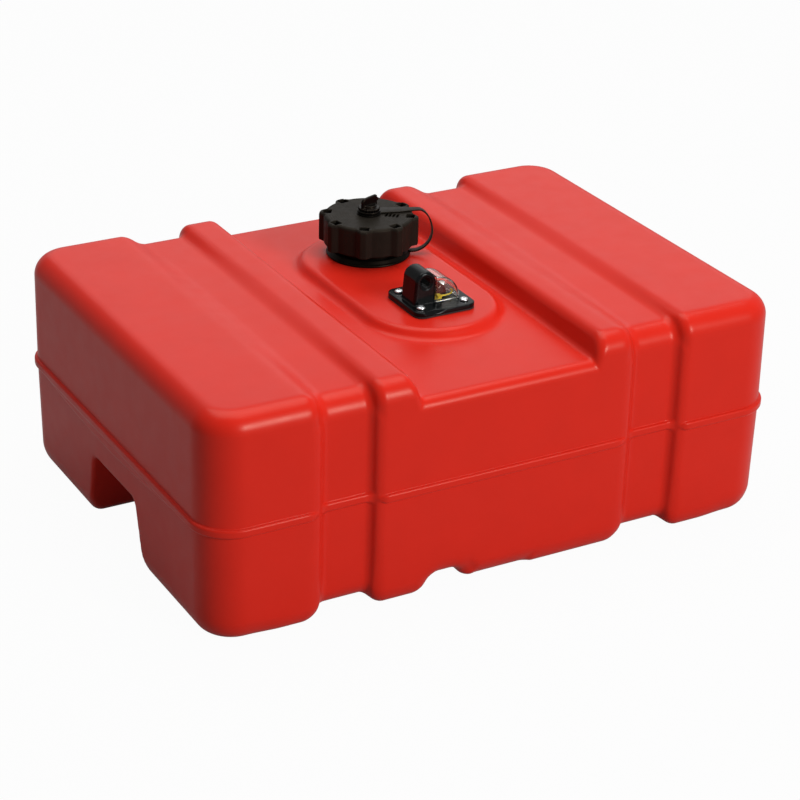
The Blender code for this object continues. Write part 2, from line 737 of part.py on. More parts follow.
def make_tether():
    bore = NECK_RADIUS + RING_CLEARANCE
    low, high = PAD_Z + GAP, PAD_Z + GAP + RING_THICKNESS
    ring = turned("tether_ring", [(bore, high), (RING_RADIUS, high), (RING_RADIUS, low), (bore, low)],
                  own(CAP_BLACK, "tether_ring_black"))
    heading = STRAP_ANGLE + STRAP_SWING
    along = RING_RADIUS + LUG_LENGTH / 2 - OVERRUN / 2
    spot = Vector((along * cos(heading), along * sin(heading), (low + high) / 2))
    lug = blocks("ring_lug", [((LUG_LENGTH + OVERRUN, STRAP_WIDTH, RING_THICKNESS - OVERRUN), spot, heading)])
    move(ring, CAP_AXIS)
    move(lug, CAP_AXIS)
    join(ring, lug)

    band("tether_strap", strap_path(), STRAP_WIDTH, STRAP_THICKNESS, own(CAP_BLACK, "tether_strap_black"))
    inner = BUSH_RADIUS + GAP
    eye = turned("tether_eye", [(inner, EYE_HIGH), (inner + EYE_WIDTH, EYE_HIGH), (inner + EYE_WIDTH, EYE_LOW),
                                (inner, EYE_LOW)], own(CAP_BLACK, "tether_eye_black"), ROUND_SEGMENTS // 2)
    move(eye, CAP_AXIS)


def lobed_outline(inset=0.0):
    count = LOBES * LOBE_POINTS
    outline = []
    for index in range(count):
        turn = 2 * pi * index / count
        swell = (0.5 + 0.5 * cos(turn * LOBES)) ** LOBE_SHARPNESS
        radius = VALLEY_RADIUS + (LOBE_RADIUS - VALLEY_RADIUS) * swell - inset
        outline.append((radius * cos(turn + LOBE_PHASE), radius * sin(turn + LOBE_PHASE)))
    return outline


def around_cap(radius, z):
    """The same place under each lobe, with the turn that faces it outwards."""
    turns = [LOBE_PHASE + 2 * pi * index / LOBES for index in range(LOBES)]
    return [(Vector((radius * cos(turn), radius * sin(turn), z)), turn) for turn in turns]


def make_cap():
    shell = flat("cap_shell", lobed_outline(), SKIRT_LOW, CAP_TOP, own(CAP_BLACK, "cap_shell_black"))
    rounding = add_bevel(shell, SHELL_EDGE, 2, angle=radians(70))
    rounding.name = "Round rim"
    hollow = flat("shell_hollow", lobed_outline(SHELL_WALL), SKIRT_LOW - OVERRUN - SHELL_EDGE, SHELL_LOW_FACE)
    hole = rods("shell_hole", BUSH_RADIUS + GAP, SHELL_LOW_FACE - OVERRUN, CAP_TOP + OVERRUN, [(0, 0)], 24)
    slots = blocks("shell_slots", [((SLOT_WIDTH, SLOT_LENGTH, SHELL_TOP + OVERRUN * 2), spot, turn)
                                   for spot, turn in around_cap(SLOT_RADIUS, CAP_TOP - SHELL_TOP / 2)])
    hook_inner = INSERT_FLANGE_RADIUS - HOOK_LAP
    hook_outer = LOBE_RADIUS - SHELL_WALL / 2
    hooks = blocks("shell_hooks", [((hook_outer - hook_inner, HOOK_WIDTH, HOOK_THICKNESS), spot, turn)
                                   for spot, turn in around_cap((hook_inner + hook_outer) / 2,
                                                                HOOK_HIGH - HOOK_THICKNESS / 2 + GAP)])
    for thing in (shell, hollow, hole, slots, hooks):
        thing.location += CAP_AXIS
    cut(shell, hollow, hole, slots)
    join(shell, hooks)

    flange_low = HOOK_HIGH + GAP * 2
    flange_high = flange_low + INSERT_FLANGE_THICKNESS
    hub = BUSH_RADIUS + GAP
    insert = turned("cap_insert", [(hub, INSERT_HIGH_FACE), (INSERT_RADIUS, INSERT_HIGH_FACE),
                                   (INSERT_RADIUS, flange_high), (INSERT_FLANGE_RADIUS, flange_high),
                                   (INSERT_FLANGE_RADIUS, flange_low), (INSERT_RADIUS, flange_low),
                                   (INSERT_RADIUS, SKIRT_LOW), (INSERT_BORE, SKIRT_LOW),
                                   (INSERT_BORE, INSERT_LOW_FACE), (hub, INSERT_LOW_FACE)],
                    own(CAP_BLACK, "cap_insert_black"))
    middle = INSERT_BORE - THREAD_BEAD + THREAD_BEAD_SINK
    thread_low = PAD_Z + THREAD_START + THREAD_PITCH / 2
    thread = wire("insert_thread", helix(middle, thread_low, THREAD_TURNS), THREAD_BEAD)
    move(thread, CAP_AXIS)
    move(insert, CAP_AXIS)
    join(insert, thread)

    inner, outer = NECK_BORE_RADIUS + GAP, NECK_RADIUS + GASKET_LIP
    gasket = turned("cap_gasket", [(inner, GASKET_HIGH), (outer, GASKET_HIGH), (outer, GASKET_LOW),
                                   (inner, GASKET_LOW)], own(RUBBER, "cap_gasket_rubber"))
    move(gasket, CAP_AXIS)


def make_vent():
    bore = STEM_RADIUS + STEM_CLEARANCE
    rim = BUSH_RADIUS + BUSH_RIM
    floor = BUSH_LOW + BUSH_FLOOR
    bush = turned("vent_bush", [(bore, COLLAR_HIGH), (BUSH_COLLAR, COLLAR_HIGH), (BUSH_COLLAR, COLLAR_LOW),
                                (BUSH_RADIUS, COLLAR_LOW), (BUSH_RADIUS, BUSH_RIM_HIGH), (rim, BUSH_RIM_HIGH),
                                (BUSH_RADIUS, BUSH_LOW), (VENT_HOLE_RADIUS, BUSH_LOW), (VENT_HOLE_RADIUS, floor),
                                (bore, floor)], own(CAP_BLACK, "vent_bush_black"), ROUND_SEGMENTS // 2)
    seal = turned_solid("vent_seal", [(0, SEAL_HIGH), (STEM_RADIUS, SEAL_HIGH), (STEM_RADIUS, SEAL_LOW), (0, SEAL_LOW)],
                        own(RUBBER, "vent_seal_rubber"), SMALL_SEGMENTS)
    disc_high = KNOB_LOW + KNOB_DISC
    hub_high = disc_high + KNOB_HUB_HEIGHT
    soft = KNOB_DISC / 4
    knob = turned_solid("vent_knob", [(0, hub_high), (KNOB_HUB_RADIUS, hub_high), (KNOB_HUB_RADIUS, disc_high),
                                      (KNOB_RADIUS - soft, disc_high), (KNOB_RADIUS, disc_high - soft),
                                      (KNOB_RADIUS, KNOB_LOW), (STEM_RADIUS, KNOB_LOW),
                                      (STEM_RADIUS, SEAL_HIGH + GAP), (0, SEAL_HIGH + GAP)],
                        own(CAP_BLACK, "vent_knob_black"), ROUND_SEGMENTS // 2)
    half = WING_LENGTH / 2
    top = hub_high + WING_HEIGHT
    rise = WING_ROUND
    outline = [(-half, disc_high - soft), (half, disc_high - soft)]
    outline += arc((half - rise, top - rise), rise, 0, pi / 2, 3) + arc((rise - half, top - rise), rise, pi / 2, pi, 3)
    wing = flat("knob_wing", outline, -WING_THICKNESS / 2, WING_THICKNESS / 2, upright=True)
    wing.rotation_euler = (0, 0, WING_ANGLE)
    for thing in (bush, seal, knob, wing):
        move(thing, CAP_AXIS)
    join(knob, wing)


def make_sender():
    outline = rounded_rectangle((PLATE_X, PLATE_Y), PLATE_SIZE, PLATE_SIZE, PLATE_CORNER)
    plate = flat("sender_plate", outline, PLATE_LOW, PLATE_HIGH, own(PLATE_BLACK, "sender_plate_black"))
    add_bevel(plate, PLATE_EDGE, 1, angle=radians(70))
    tower_back = TOWER_FRONT_Y + TOWER_LENGTH
    half = TOWER_WIDTH / 2
    sides = [(TOWER_X - half - TOWER_FLARE, PLATE_HIGH - OVERRUN), (TOWER_RIGHT, PLATE_HIGH - OVERRUN)]
    tombstone = sides + arc((TOWER_X, TOWER_AXIS_Z), half, 0, pi, 12)
    tower = flat("tower_solid", tombstone, TOWER_FRONT_Y, tower_back, upright=True)
    spigot_low = PLATE_LOW - SPIGOT_LENGTH
    passage_y = TOWER_FRONT_Y + OUTLET_DEPTH - PASSAGE_RADIUS - OVERRUN
    spigot = rods("spigot_solid", SPIGOT_RADIUS, spigot_low, PLATE_LOW + OVERRUN, [(TOWER_X, passage_y)])
    join(plate, tower, spigot)
    outlet = rod_y("outlet_bore", OUTLET_RADIUS, TOWER_FRONT_Y - OVERRUN, TOWER_FRONT_Y + OUTLET_DEPTH,
                   TOWER_X, TOWER_AXIS_Z, segments=24)
    passage = rods("outlet_passage", PASSAGE_RADIUS, spigot_low - OVERRUN, TOWER_AXIS_Z, [(TOWER_X, passage_y)], 12)
    holes = rods("plate_holes", SCREW_RADIUS + SCREW_CLEARANCE, PLATE_LOW - OVERRUN, PLATE_HIGH + OVERRUN,
                 screw_spots(), 16)
    slot_half = HUB_LENGTH / 2 + GAP * 2
    slot = box("gauge_slot", (PIVOT.x - GAUGE_SLOT_LEFT, PIVOT.y - slot_half, PLATE_LOW - OVERRUN),
               (PIVOT.x + GAUGE_SLOT_RIGHT, PIVOT.y + slot_half, PLATE_HIGH + OVERRUN))
    pin_half = slot_half + PIN_SEAT
    pin_hole = rod_y("pin_hole", PIN_RADIUS + GAP, PIVOT.y - pin_half - GAP, PIVOT.y + pin_half + GAP,
                     PIVOT.x, PIVOT.z, segments=12)
    cut(plate, outlet, passage, holes, slot, pin_hole)
    rod_y("gauge_pin", PIN_RADIUS, PIVOT.y - pin_half, PIVOT.y + pin_half, PIVOT.x, PIVOT.z,
          own(BRASS, "gauge_pin_brass"), segments=12)

    gasket = flat("sender_gasket", outline, SENDER_GASKET_LOW, SENDER_GASKET_LOW + SENDER_GASKET,
                  own(RUBBER, "sender_gasket_rubber"))
    opening = rods("gasket_opening", PORT_RADIUS, SENDER_GASKET_LOW - OVERRUN, PLATE_LOW + OVERRUN,
                   [(PLATE_X, PLATE_Y)], ROUND_SEGMENTS // 2)
    gasket_holes = rods("gasket_holes", SCREW_RADIUS + SCREW_CLEARANCE, SENDER_GASKET_LOW - OVERRUN,
                        PLATE_LOW + OVERRUN, screw_spots(), 16)
    cut(gasket, opening, gasket_holes)

    seat = PLATE_HIGH + GAP
    for number, spot in enumerate(screw_spots(), start=1):
        shoulder = SCREW_HEAD_HEIGHT / 2
        screw = turned_solid("plate_screw_%d" % number,
                             [(0, seat + SCREW_HEAD_HEIGHT), (SCREW_HEAD_RADIUS - shoulder, seat + SCREW_HEAD_HEIGHT),
                              (SCREW_HEAD_RADIUS, seat + shoulder), (SCREW_HEAD_RADIUS, seat), (SCREW_RADIUS, seat),
                              (SCREW_RADIUS, seat - SCREW_LENGTH + SCREW_RADIUS), (0, seat - SCREW_LENGTH)],
                             own(ZINC, "plate_screw_zinc_%d" % number), 16)
        move(screw, (spot[0], spot[1], 0))
    make_pickup(passage_y, spigot_low)


def make_pickup(y, spigot_low):
    inner = SPIGOT_RADIUS + GAP
    low = WALL + PICKUP_CLEARANCE
    high = PLATE_LOW - GAP
    tube = turned("pickup_tube", [(inner, high), (PICKUP_RADIUS, high), (PICKUP_RADIUS, low), (inner, low)],
                  own(NATURAL, "pickup_tube_nylon"), SMALL_SEGMENTS)
    bore = PICKUP_RADIUS + GAP
    outer = bore + FILTER_WALL
    bottom = WALL + FILTER_FLOOR_GAP
    sock = turned_solid("pickup_filter", [(0, bottom + FILTER_LENGTH), (outer, bottom + FILTER_LENGTH),
                                          (outer, bottom), (0, bottom)], own(NATURAL, "pickup_filter_mesh"), SMALL_SEGMENTS)
    hollow = rods("filter_hollow", bore, bottom + FILTER_WALL, bottom + FILTER_LENGTH + OVERRUN, [(0, 0)])
    middle = Vector((0, 0, bottom + FILTER_WALL + GAP + FILTER_WINDOW / 4))
    size = (outer * 2 + OVERRUN, FILTER_WINDOW, FILTER_WINDOW / 2)
    windows = blocks("filter_windows", [(size, middle, 0), (size, middle, pi / 2)])
    for thing in (tube, sock, hollow, windows):
        move(thing, (TOWER_X, y, 0))
    cut(sock, hollow, windows)


def quarter(radius, left, low, steps=10):
    """A quarter disc in XZ, its straight sides on the left and below, extended to left and low."""
    centre = (LENS_LEFT, LENS_LOW)
    outline = arc(centre, radius, 0, pi / 2, steps)
    outline += [(left, centre[1] + radius)] if left < centre[0] else []
    outline += [(left, low)]
    outline += [(centre[0] + radius, low)] if low < centre[1] else []
    return outline


def make_gauge():
    front, back = TOWER_FRONT_Y, TOWER_FRONT_Y + LENS_DEPTH
    lens = flat("gauge_lens", quarter(LENS_RADIUS, LENS_LEFT, LENS_LOW), front, back,
                own(CLEAR, "gauge_lens_acrylic"), upright=True)
    hollow = flat("lens_hollow", quarter(LENS_RADIUS - LENS_WALL, LENS_LEFT - OVERRUN, LENS_LOW - OVERRUN),
                  front + LENS_WALL, back - LENS_WALL, upright=True)
    cut(lens, hollow)

    room = LENS_RADIUS - LENS_WALL - DIAL_CLEARANCE
    left = LENS_LEFT + GAP
    dial_front = PIVOT.y + HUB_LENGTH / 2 + GAP
    outline = [(left, LENS_LOW)] + [(left + room * along, LENS_LOW + room * up) for along, up in DIAL_SHARES]
    flat("gauge_dial", outline, dial_front, dial_front + DIAL_DEPTH, own(PLATE_BLACK, "gauge_dial_black"),
         upright=True)

    half = HUB_LENGTH / 2
    pointer = rod_y("gauge_pointer", HUB_RADIUS, PIVOT.y - half, PIVOT.y + half, PIVOT.x, PIVOT.z,
                    own(YELLOW, "gauge_pointer_yellow"), segments=16)
    lift = PLATE_HIGH + POINTER_LIFT - PIVOT.z
    carrier = box("pointer_block", PIVOT + Vector((POINTER_BLOCK_START, GAP - half, HUB_RADIUS / 2)),
                  PIVOT + Vector((POINTER_BLOCK_START + POINTER_BLOCK, half - GAP, lift + POINTER_RADIUS * 2)))
    line = [PIVOT + Vector((along * POINTER_REACH, 0, lift + up * POINTER_REACH)) for along, up in POINTER_SHARES]
    tip = wire("pointer_wire", line, POINTER_RADIUS)
    join(pointer, carrier, tip)
    bore = rod_y("hub_bore", PIN_RADIUS + GAP, PIVOT.y - half - OVERRUN, PIVOT.y + half + OVERRUN,
                 PIVOT.x, PIVOT.z, segments=12)
    cut(pointer, bore)
    make_float()


def on_arm(radius, angle):
    return PIVOT + Vector((radius * cos(angle), 0, radius * sin(angle)))


def make_float():
    bend_angle = ARM_EMPTY_ANGLE - ARM_BEND_LEAD
    start = on_arm(HUB_RADIUS + GAP, bend_angle)
    bend = on_arm(ARM_BEND_RADIUS, bend_angle)
    end = on_arm(ARM_REACH, ARM_EMPTY_ANGLE)
    turn, near = ARM_TURN, ARM_TURN * ARM_TURN_SHARE
    side = Vector((0, 1, 0))
    leg = (end - bend).normalized()
    path = [start, bend + (start - bend).normalized() * turn, bend + leg * turn, end - leg * turn]
    path += [end - leg * near + side * near, end + side * turn]
    float_start = PIVOT.y + FLOAT_SIDE
    float_end = float_start + FLOAT_LENGTH
    tail = Vector((end.x, float_end + GAP + CLIP_THICKNESS + ARM_TAIL, end.z))
    wire("float_arm", path + [tail], ARM_RADIUS, own(STEEL, "float_arm_steel"), resolution=1)

    body = rod_y("float", FLOAT_RADIUS, float_start, float_end, end.x, end.z, own(FLOAT_BLACK, "float_nitrile"),
                 bevel=FLOAT_EDGE)
    through = rod_y("float_bore", ARM_RADIUS + GAP, float_start - OVERRUN, float_end + OVERRUN, end.x, end.z,
                    segments=12)
    cut(body, through)
    clip = rod_y("float_clip", CLIP_RADIUS, float_end + GAP, float_end + GAP + CLIP_THICKNESS, end.x, end.z,
                 own(STEEL, "float_clip_steel"), segments=16)
    clip_hole = rod_y("clip_hole", ARM_RADIUS + GAP, float_end, float_end + GAP + CLIP_THICKNESS + OVERRUN,
                      end.x, end.z, segments=12)
    cut(clip, clip_hole)


make_tank()
make_tether()
make_cap()
make_vent()
make_sender()
make_gauge()
bpy.context.view_layer.update()
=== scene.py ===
"""Looks of a portable outboard fuel tank: a moulded skin, filler cap, sender unit and float gauge.

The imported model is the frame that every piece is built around. Metres, +Z up, with the long front face at -Y.
"""

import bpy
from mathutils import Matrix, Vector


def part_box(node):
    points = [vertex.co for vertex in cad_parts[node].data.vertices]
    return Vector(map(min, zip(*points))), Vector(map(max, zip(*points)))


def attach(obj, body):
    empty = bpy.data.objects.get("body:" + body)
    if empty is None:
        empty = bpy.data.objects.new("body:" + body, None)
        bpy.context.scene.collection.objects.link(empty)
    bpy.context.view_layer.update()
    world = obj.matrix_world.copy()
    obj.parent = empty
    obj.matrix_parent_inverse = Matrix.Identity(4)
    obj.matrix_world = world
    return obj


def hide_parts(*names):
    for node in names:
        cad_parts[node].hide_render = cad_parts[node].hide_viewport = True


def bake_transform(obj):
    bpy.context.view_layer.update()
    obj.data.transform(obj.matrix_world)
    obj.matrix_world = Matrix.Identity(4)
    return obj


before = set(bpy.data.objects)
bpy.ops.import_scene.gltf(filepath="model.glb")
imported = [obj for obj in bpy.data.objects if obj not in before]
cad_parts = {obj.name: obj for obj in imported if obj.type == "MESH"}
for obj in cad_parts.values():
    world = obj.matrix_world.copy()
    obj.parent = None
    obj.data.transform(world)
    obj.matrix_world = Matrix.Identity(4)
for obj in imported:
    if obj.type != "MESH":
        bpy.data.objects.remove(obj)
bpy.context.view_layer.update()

from math import cos, pi, radians, sin

import bpy
import numpy as np
from bpy.props import FloatProperty, FloatVectorProperty, IntProperty, PointerProperty
from bpy.types import Operator, Panel, PropertyGroup
from mathutils import Matrix, Vector

bl_info = {
    "name": "Outboard fuel tank",
    "version": (1, 0, 0),
    "blender": (4, 5, 0),
    "location": "View3D > Sidebar > Fuel Tank",
    "description": "Builds the moulded skin, cap, sender and gauge of a portable fuel tank",
    "category": "Object",
}


def linear(code):
    """An sRGB hex colour as the three linear values that a shader takes."""
    values = [int(code[start:start + 2], 16) / 255 for start in (0, 2, 4)]
    return tuple(v / 12.92 if v <= 0.04045 else ((v + 0.055) / 1.055) ** 2.4 for v in values)


def length(name, description, default):
    return FloatProperty(name=name, description=description, default=default, precision=4,
                         subtype="DISTANCE", unit="LENGTH")


def angle(name, description, degrees):
    return FloatProperty(name=name, description=description, default=radians(degrees),
                         subtype="ANGLE", unit="ROTATION")


def share(name, description, default):
    return FloatProperty(name=name, description=description, default=default, subtype="FACTOR", min=-1, max=1)


def colour(name, description, code):
    return FloatVectorProperty(name=name, description=description, default=linear(code), size=3,
                               subtype="COLOR", min=0, max=1)


class TankSizes(PropertyGroup):
    """Sizes of the moulded body."""
    length: length("Length", "Outer length over the parting flange", 0.645)
    width: length("Width", "Outer width over the parting flange", 0.466)
    height: length("Height", "Height of the top over the floor", 0.2375)
    plan_radius: length("Corner radius", "Radius of the four upright corners", 0.040)
    top_edge: length("Top edge", "Radius of the top's edge", 0.0215)
    low_edge: length("Low edge", "Radius of the bottom's edge", 0.0200)
    end_low_edge: length("End low edge", "Radius of that edge at the ends and under the middle foot", 0.0255)
    lower_draft: share("Lower draft", "Draft of the walls below the flange", 0.0126)
    upper_draft: share("Upper draft", "Draft of the walls above the flange", 0.0055)
    flange_height: length("Flange height", "Height of the parting flange's middle", 0.1195)
    flange_band: length("Flange band", "Height of the flange itself", 0.0090)
    flange_edge: length("Flange edge", "Radius of the flange's edges", 0.0024)
    flange_proud: length("Flange reach", "How far the flange stands out", 0.0032)
    lip_proud: length("Lip reach", "How far the bowed lip under the left end's flange stands out", 0.0026)
    lip_drop: length("Lip drop", "Height of that lip at its middle", 0.0095)
    lip_length: length("Lip length", "Length of that lip across the end", 0.33)
    lip_middle: length("Lip middle", "Middle of that lip across the tank", 0.01)
    groove_left: share("Left groove", "Place of the left strap groove along the length", -0.2670)
    groove_right: share("Right groove", "Place of the right strap groove along the length", 0.2668)
    groove_floor: length("Groove floor", "Flat width of a strap groove", 0.0490)
    groove_left_slope: length("Left slope", "Width of the groove's left slope", 0.0112)
    groove_right_slope: length("Right slope", "Width of the groove's right slope", 0.0068)
    groove_depth: length("Groove depth", "Depth of a strap groove in the top", 0.0092)
    groove_fade: share("Groove fade", "How much of that depth is lost in the middle of the top", 0.40)
    groove_low: length("Low groove depth", "Depth of a strap groove under the tank", 0.0098)
    groove_side: length("Groove side depth", "Depth of a strap groove in the front and back", 0.0108)
    recess_place: share("Recess", "Place of the sunken middle along the length", 0.0)
    recess_floor: length("Recess floor", "Flat width of the sunken middle", 0.193)
    recess_slope: length("Recess slope", "Width of the slope beside the sunken middle", 0.008)
    recess_depth: length("Recess depth", "Depth of the sunken middle", 0.0245)
    recess_crown: length("Recess crown", "How much higher the sunken floor is in its middle", 0.0032)
    recess_edge: length("Recess edge", "Edge radius at the front of the sunken middle", 0.0115)
    rib_edge: length("Rib edge", "Radius of the edges of the ribs", 0.0055)
    recess_rib_edge: length("Recess rib edge", "Radius of the ribs' edges beside the sunken middle", 0.008)
    rib_foot: length("Rib foot", "Radius in the feet of the grooves' walls", 0.0045)
    low_rib_edge: length("Low rib edge", "Radius of the ribs' edges under the tank", 0.0095)
    channel_place: share("Channel", "Place of the channel under the tank", -0.0990)
    channel_floor: length("Channel floor", "Flat width of the channel", 0.0272)
    channel_slope: length("Channel slope", "Width of the channel's slopes", 0.0125)
    channel_depth: length("Channel depth", "Depth of the channel", 0.018)
    pad_x: length("Pad middle", "Middle of the raised pad along the length", 0.008)
    pad_front: length("Pad front", "Centre of the pad's front end", -0.051)
    pad_back: length("Pad back", "Centre of the pad's back end", 0.077)
    pad_radius: length("Pad radius", "Radius of the pad's ends at its top", 0.0685)
    pad_flank: length("Pad flank", "Width of the pad's sloping flank", 0.0095)
    pad_height: length("Pad height", "Height of the pad over the recess", 0.012)
    pad_edge: length("Pad edge", "Radius of the pad's upper edge", 0.003)
    pad_foot: length("Pad foot", "Radius in the foot of the pad's flank", 0.0035)
    hold_depth: length("Hand-hold depth", "Reach of a hand-hold from the end", 0.065)
    hold_height: length("Hand-hold height", "Height of a hand-hold", 0.077)
    hold_width: length("Hand-hold width", "Width of a hand-hold at its roof", 0.103)
    hold_flare: length("Hand-hold flare", "How much wider each side is at the floor", 0.016)
    hold_y: length("Hand-hold middle", "Middle of the hand-holds across the tank", -0.0015)
    hold_radius: length("Hand-hold fillet", "Radius inside a hand-hold", 0.008)
    hold_rim: length("Hand-hold rim", "Radius of the edge round a hand-hold", 0.0045)
    hold_low_rim: length("Low rim", "Radius of that edge near the floor", 0.0110)
    red: colour("Red", "Pigment of the moulded polyethylene", "CB2316")


class CapSizes(PropertyGroup):
    """Sizes of the neck, tether, cap and vent."""
    x: length("Cap along", "Place of the cap's axis along the length", 0.014)
    y: length("Cap across", "Place of the cap's axis across the tank", 0.088)
    lobes: IntProperty(name="Lobes", description="Grip lobes round the cap", default=8, min=3)
    lobe_radius: length("Lobe radius", "Reach of a lobe from the axis", 0.0525)
    valley_radius: length("Valley radius", "Reach of the wall between two lobes", 0.0473)
    lobe_width: length("Lobe width", "Width of a lobe's flat front", 0.005)
    lobe_flank: length("Lobe flank", "Width of a lobe's flank", 0.0066)
    lobe_turn: angle("Lobe turn", "Direction of the first lobe", 10.5)
    tick_turn: angle("Tick direction", "Direction of the row of ticks from the axis", -38)
    tick_start: length("First tick", "Distance of the first tick from the axis", 0.0185)
    tick_gap: length("Tick spacing", "Distance between two ticks", 0.0040)
    tick_length: length("Tick length", "Length of a tick", 0.0074)
    edge: length("Rim radius", "Radius of the cap's top edge", 0.0034)
    wall: length("Wall", "Thickness of the cap's skirt", 0.0027)
    slot_radius: length("Slot radius", "Distance of the slots from the axis", 0.0438)
    slot_length: length("Slot length", "Length of a slot round the cap", 0.0100)
    slot_width: length("Slot width", "Width of a slot", 0.0086)
    neck_radius: length("Neck radius", "Outer radius of the filler neck", 0.033)
    neck_bore: length("Neck bore", "Inner radius of the filler neck", 0.029)
    neck_height: length("Neck height", "Height of the neck over the pad", 0.0335)
    ring_radius: length("Ring radius", "Outer radius of the tether's ring", 0.0445)
    strap_width: length("Strap width", "Width of the tether's strap", 0.008)
    strap_thickness: length("Strap thickness", "Thickness of the tether's strap", 0.0015)
    knob_radius: length("Knob radius", "Radius of the vent knob's disc", 0.0112)
    wing_length: length("Wing length", "Length of the knob's wing", 0.0212)
    wing_thickness: length("Wing thickness", "Thickness of the knob's wing", 0.0036)
    wing_turn: angle("Wing turn", "Direction of the knob's wing", 16)
    black: colour("Black", "Pigment of the moulded polypropylene", "1D1A16")


class SenderSizes(PropertyGroup):
    """Sizes of the sender plate, screws and gauge."""
    x: length("Plate along", "Plate's middle along the length", 0.0095)
    y: length("Plate across", "Plate's middle across the tank", -0.0545)
    size: length("Plate size", "Side of the square plate", 0.069)
    corner: length("Plate corner", "Radius of the plate's corners", 0.010)
    edge: length("Plate edge", "Radius of the plate's upper edge", 0.0011)
    tower_x: length("Tower along", "Middle of the outlet tower along the length", -0.0055)
    tower_width: length("Tower width", "Width of the outlet tower", 0.023)
    tower_length: length("Tower length", "Length of the outlet tower", 0.028)
    tower_front: length("Tower front", "Front of the tower from the plate's middle", -0.0155)
    axis_height: length("Outlet height", "Height of the outlet's axis over the plate", 0.0228)
    outlet_radius: length("Outlet radius", "Radius of the outlet's bore", 0.0064)
    outlet_depth: length("Outlet depth", "Depth of the outlet's bore", 0.019)
    thread_pitch: length("Outlet thread", "Pitch of the outlet's pipe thread", 0.00141)
    lens_radius: length("Lens radius", "Radius of the gauge's clear cover", 0.027)
    lens_wall: length("Lens wall", "Thickness of the clear cover", 0.0013)
    plate_black: colour("Plate", "Pigment of the glossy sender plate", "0B0D0E")
    yellow: colour("Pointer", "Pigment of the pointer", "F4CF35")


class StageSizes(PropertyGroup):
    """The floor, lights and camera."""
    floor: length("Floor", "Width of the floor", 8.0)
    pale: colour("Floor colour", "Colour of the floor", "A6A6A6")
    camera_lens: FloatProperty(name="Lens", description="Camera's focal length", default=106.8, unit="CAMERA")
    azimuth: angle("Azimuth", "Direction that the camera looks from", -29.60)
    elevation: angle("Elevation", "Camera's angle over the horizon", 26.14)
    roll: angle("Roll", "Camera's roll", 1.50)


# Levels and sizes that several pieces share
GAP = 0.0003
SCREW_HEAD = 0.0027
SCREWS = ("plate_screw_1", "plate_screw_2", "plate_screw_3", "plate_screw_4")
CAP_BORE = 0.0083
CAP_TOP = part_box("cap_shell")[1].z
SKIRT_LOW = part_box("cap_shell")[0].z
CAP_CEILING = CAP_TOP - 0.0037
PAD_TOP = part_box("sender_gasket")[0].z - GAP
PLATE_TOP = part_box("plate_screw_1")[1].z - SCREW_HEAD - GAP
PLATE_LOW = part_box("sender_gasket")[1].z + GAP


# Shape functions: a shape is negative inside, zero on the surface and positive outside

def ease(value):
    """A smooth step from 0 to 1."""
    value = np.clip(value, 0, 1)
    return value * value * (3 - 2 * value)


def overlap(a, b, radius=0.0):
    """The space that is in both shapes, with the edge between them rounded."""
    reach = np.hypot(np.maximum(a + radius, 0), np.maximum(b + radius, 0))
    return reach - radius + np.minimum(np.maximum(a, b) + radius, 0)


def union(a, b, radius=0.0):
    """The space that is in either shape, with a fillet between them."""
    return -overlap(-a, -b, radius)


def slab(value, low, high):
    """The space where a coordinate lies between two values."""
    return np.maximum(low - value, value - high)


def block(x, y, z, low, high):
    """A box between two corners."""
    return overlap(overlap(slab(x, low[0], high[0]), slab(y, low[1], high[1])), slab(z, low[2], high[2]))


def grid_lines(low, high, coarse, zones):
    """Positions from low to high, with a step of its own in each zone and a coarse one between them."""
    places = [low]
    while places[-1] < high:
        here = places[-1]
        steps = [step for start, end, step in zones if start - coarse / 2 < here < end]
        places.append(here + min([*steps, coarse]))
    return np.array(places)


def even_lines(low, high, step):
    """Grid lines with one step, for a box between two corners."""
    return [np.arange(start, end, step) for start, end in zip(low, high)]


def settle(shape, points, reach):
    """Move points onto the surface along the shape's slope, by no more than reach at a time."""
    step, rounds, least_slope = 0.0001, 4, 0.2
    for _ in range(rounds):
        value = shape(*points.T)
        slope = np.stack([(shape(*(points + offset).T) - shape(*(points - offset).T)) / (2 * step)
                          for offset in np.eye(3) * step], axis=1)
        move = (value / np.maximum((slope ** 2).sum(axis=1), least_slope))[:, None] * slope
        points = points - np.clip(move, -reach, reach)
    return points


